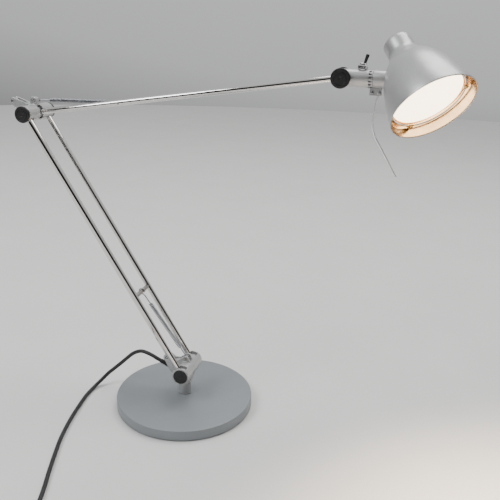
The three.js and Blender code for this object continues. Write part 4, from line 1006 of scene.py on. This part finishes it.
def build_shade():
    line = [(p.x, p.y) for p in smooth_line([(r, z, 0) for r, z in shade_outline()], 1.2)]
    inside = [(max(r, 0), max(z, 0)) for r, z in offset(line, SHADE_WALL)][::-1]
    lip = [(SHADE_R - SHADE_WALL + 0.1, -0.15), (SHADE_R - SHADE_WALL / 2, -0.45), (SHADE_R - 0.1, -0.15)]
    profile = over_rim([*line, (0, SHADE_H), (0, SHADE_H - SHADE_WALL), *inside, *lip])
    shape = shape_of(mesh_of("shell", [lathe(profile, 160, True)]))
    hole = bar_x(STUB_R + GAP, *STUB_HOLE_X, count=64)
    back = (ROLLED.inverted() @ ON_SHADE).inverted()
    mesh = carved("shade_bell", [shape], [moved(hole, back)])
    obj = piece("shade_bell", mesh, ON_SHADE, "silver_paint", "shade_end", ["shade"], 60)
    obj.data.materials.append(MATERIALS["reflector"])
    axis = ON_SHADE.to_3x3() @ Vector((0, 0, 1))
    foot = ON_SHADE @ Vector((0, 0, SHADE_RIM))
    for face in obj.data.polygons:
        place = face.center / MM - foot
        radial = place - axis * place.dot(axis)
        if radial.length > 1 and face.normal.dot(radial) < 0 and 0.4 < place.dot(axis) < SHADE_H - 3:
            face.material_index = 1

    collar = spun([
        (HEAD_BORE_R - GAP, SLEEVE_FROM, 0.2), (SLEEVE_R, SLEEVE_FROM, 0.5), (SLEEVE_R, COLLAR_TO),
        (5, COLLAR_TO),
    ], 3, 96, True)
    spigot = bar_x(HEAD_BORE_R - GAP, SLEEVE_FROM - SLEEVE_SPIGOT, SLEEVE_FROM + 1, count=72)
    stub = bar_x(STUB_R, SLEEVE_FROM, STUB_TO, count=72)
    wireway = bar_x(STUB_R - 1.6, SLEEVE_FROM - SLEEVE_SPIGOT - 2, STUB_TO + 2, count=48)
    outset = [(max(r, 0), z) for r, z in offset(line, -0.02)]
    room = lathe(over_rim([(0, -1), (outset[0][0], -1), *outset, (0, SHADE_H)]), 160)
    bell = moved(room, ROLLED.inverted() @ ON_SHADE)
    cut_collar = shape_of(carved("collar", [moved(collar, ALONG_X)], [bell]))
    sleeve = carved("sleeve", [cut_collar, spigot, stub], [wireway])
    piece("turning_sleeve", sleeve, ROLLED, "silver_paint", "shade_end", ["head_sleeve"], 40)

    band = [(r, z) for r, z in line if REFLECTOR_Z[0] < z < REFLECTOR_Z[1]]
    ring = over_rim([*offset(band, SHADE_WALL + 0.5), *offset(band, SHADE_WALL + 1.3)[::-1]])
    piece("inner_reflector", [lathe(ring, 128, True)], ON_SHADE, "reflector", "shade_end", ["reflector"], 50)

    top = HOLDER_FROM + 14
    mouth_r = HOLDER_R - HOLDER_WALL
    holder = over_rim(rounded([
        (0, top), (mouth_r, top), (mouth_r, HOLDER_FROM, 0.4), (HOLDER_R, HOLDER_FROM, 0.8),
        (HOLDER_R, HOLDER_FROM + 8, 0.3), (HOLDER_R - 1, HOLDER_FROM + 9, 0.3), (HOLDER_R - 1, HOLDER_TO, 1),
        (0, HOLDER_TO),
    ]))
    piece("bulb_holder", [lathe(holder, 72)], ON_SHADE, "ceramic", "shade_end", ["lamp_holder"])

    neck_r = mouth_r - GAP - 0.6
    neck_to = HOLDER_FROM + 13
    globe = arc(0, BULB_AT, BULB_R, -90, 50, 32)
    hollow = arc(0, BULB_AT, BULB_R - BULB_WALL, -90, 50, 32)[::-1]
    glass = over_rim([
        *globe, (BULB_WAIST_R, BULB_AT + 20), (neck_r, HOLDER_FROM - 1.5), (neck_r, neck_to),
        (neck_r - BULB_WALL, neck_to), (neck_r - BULB_WALL, HOLDER_FROM - 1.5),
        (BULB_WAIST_R - BULB_WALL, BULB_AT + 20), *hollow,
    ])
    bulb = lathe([(max(r, 0), z) for r, z in glass])
    piece("lamp_bulb", [bulb], ON_SHADE, "glass", "shade_end", ["bulb"], 50)

    face = GLASS_AT + GLASS_T
    disc = over_rim(rounded([(0, GLASS_AT), (GLASS_R, GLASS_AT, 0.6), (GLASS_R, face, 0.6), (0, face)]))
    piece("front_glass", [lathe(disc, 128)], ON_SHADE, "glass", "shade_end", ["glass_disc"])

    wire = over_rim(arc(RING_R, RING_AT, RING_WIRE_R, 0, 342, 19))
    piece("glass_ring", [lathe(wire, 128, True)], ON_SHADE, "steel", "shade_end", ["retaining_ring"], 60)

    inner, outer = RING_R - 4, SHADE_R - 5.2
    middle = (inner + outer) / 2
    height = RING_AT - RING_WIRE_R - GAP
    for i in range(CLIP_COUNT):
        tab = plate(rounded([
            (inner, height - 1.2, 0.3), (outer - 1, height - 1.2, 0.5), (outer, height + 2, 0.3),
            (outer - 0.8, height + 2.2, 0.3), (outer - 2, height, 0.5), (inner, height, 0.3),
        ], 3), -CLIP_HALF_W, CLIP_HALF_W)
        screw = spun([(0, -1.7), (1.5, -1.6, 0.5), (2.2, -0.9, 0.3), (2.2, 0.4), (0, 0.4)], 4, 40)
        screw = moved(screw, shift(middle, 0, height - 1.3))
        slot = block(middle - 3, middle + 3, -0.3, 0.3, height - 4, height - 2.5)
        clip = carved("clip", [tab, screw], [slot])
        place = ON_SHADE @ shift(0, 0, SHADE_RIM) @ turned(CLIP_FIRST + 360 * i / CLIP_COUNT, "Z")
        piece(f"spring_clip_{i + 1}", clip, place, "brass", "shade_end", [f"glass_clip_{i + 1}"], 40)


def build_clamp():
    top = -SLEEVE_R - GAP
    bottom = top - CLAMP_DEPTH
    screw_z = (top + bottom) / 2 - 0.2
    removed = [bar(HANDLE_R + GAP, bottom - 2, top - 2, shift(HANDLE_X), 32)]
    removed += [bar_y(1.4, -9, -CLAMP_HALF_W + 3, x, screw_z, 32) for x in CLAMP_SCREW_X]
    removed.append(bar_x(SLEEVE_R + 0.05, CLAMP_X[0] - 2, CLAMP_X[1] + 2))
    solid = block(CLAMP_X[0], CLAMP_X[1], -CLAMP_HALF_W, CLAMP_HALF_W, bottom, -SLEEVE_R * 0.7)
    mesh = carved("handle_clamp", [solid], removed)
    piece("handle_clamp", mesh, AT_HEAD, "silver_paint", "shade_end", ["clamp_block"], 30, 1.0)
    seat = CLAMP_HALF_W + GAP
    for x, label in zip(CLAMP_SCREW_X, ("front", "rear")):
        head = spun([
            (0, 2.8), (1.1, 2.8), (1.1, seat, 0.1), (CLAMP_SCREW_R, seat, 0.1),
            (CLAMP_SCREW_R, seat + 1.3, 0.5), (0, seat + 1.5),
        ], 4, 48)
        slot = block(-0.3, 0.3, -3, 3, seat + 0.8, seat + 3)
        bolt = carved("bolt", [head], [slot])
        place = AT_HEAD @ shift(x, 0, screw_z) @ BACK_Y
        piece(f"clamp_bolt_{label}", bolt, place, "steel", "shade_end", [f"clamp_screw_{label}"])
    line = smooth_line([
        (HANDLE_X, 0, top - 2), (HANDLE_X, 0, bottom - 1), (43, 0, -27), (41.2, 0, -42), (41.4, 0, -54),
        (45, 0, -65.5), (54, 0, -80.2), (74.8, 0, -113.8),
    ], 1.5)
    piece("wire_grip", [tube(line, HANDLE_R, 24)], AT_HEAD, "chrome_wire", "shade_end", ["wire_handle"], 60)


build_base()
build_base_bracket()
build_elbow_bracket()
build_arms()
build_springs()
build_head()
build_switch()
build_shade()
build_clamp()

# ---- CAD nodes that stay as they are, inside the lamp ----
INSIDE = {
    "base_weight": "cast_iron", "swivel_washer": "steel", "swivel_nut": "steel", "swivel_stem": "steel",
    "lower_lead": "rubber", "switch_body": "black_plastic", "shade_nut": "steel",
}
for node, slot in INSIDE.items():
    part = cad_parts[node]
    part.data.materials.clear()
    part.data.materials.append(MATERIALS[slot])

# ---- floor and light ----
FLOOR_R = 4000
floor_mesh = mesh_of("floor", [lathe([(0, 0), (FLOOR_R, 0)])])
floor_mesh.transform(Matrix.Scale(MM, 4))
floor = linked("floor", floor_mesh)
table_top = finish_of("table_top", (0.74, 0.73, 0.72), 0.7, patches=0.02, patch_scale=6, bump=0.1,
                      bump_scale=60, bump_depth=0.4)
floor_mesh.materials.append(table_top)


def aimed(obj, place, way):
    obj.location = place
    obj.rotation_mode = "QUATERNION"
    obj.rotation_quaternion = way.to_track_quat("-Z", "Y")


def soft_light(name, place, target, size, power, colour):
    lamp = bpy.data.lights.new(name, "AREA")
    lamp.shape = "DISK"
    lamp.size = size
    lamp.energy = power
    lamp.color = colour
    aimed(linked(name, lamp), Vector(place), Vector(target) - Vector(place))


soft_light("window", (-1.6, -1.4, 2.4), (0, 0, 0.2), 1.6, 54, (0.96, 0.98, 1.0))
soft_light("ceiling", (0.6, 0.8, 2.6), (0, 0, 0.2), 1.8, 42, (1.0, 0.99, 0.97))

# The lamp's own light, 4 mm outside the shade's mouth. It turns with the shade.
mouth = ON_SHADE.to_3x3() @ Vector((0, 0, -1))
bulb_light = bpy.data.lights.new("bulb_light", "SPOT")
bulb_light.energy = 34
bulb_light.color = (1.0, 0.78, 0.55)
bulb_light.spot_size = math.radians(120)
bulb_light.spot_blend = 1
bulb_light.shadow_soft_size = 0.04
glow_spot = linked("bulb_light", bulb_light)
aimed(glow_spot, (ON_SHADE.translation + mouth * (4 - SHADE_RIM)) * MM, mouth)
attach(glow_spot, "shade_end")

world = bpy.data.worlds.new("studio")
bpy.context.scene.world = world
world.use_nodes = True
sky = world.node_tree.nodes["Background"]
# Pale behind the lamp and above it, and dark low down in front, which the chrome mirrors.
studio = world.node_tree
way = add(studio, "ShaderNodeTexCoord")
split = add(studio, "ShaderNodeSeparateXYZ", [("Vector", way.outputs["Generated"])])
across = add(studio, "ShaderNodeMath", [(0, split.outputs["Y"])], operation="MULTIPLY")
across.inputs[1].default_value = 0.5
up = add(studio, "ShaderNodeMath", [(0, split.outputs["Z"]), (1, across.outputs[0])], operation="ADD")
ramp = add(studio, "ShaderNodeValToRGB", [("Fac", up.outputs[0])])
ramp.color_ramp.elements[0].position = 0.14
ramp.color_ramp.elements[0].color = (0.02, 0.018, 0.016, 1)
ramp.color_ramp.elements[1].position = 0.42
ramp.color_ramp.elements[1].color = (0.62, 0.625, 0.63, 1)
bright = ramp.color_ramp.elements.new(0.9)
bright.color = (0.9, 0.91, 0.92, 1)
studio.links.new(ramp.outputs["Color"], sky.inputs["Color"])
sky.inputs["Strength"].default_value = 0.85
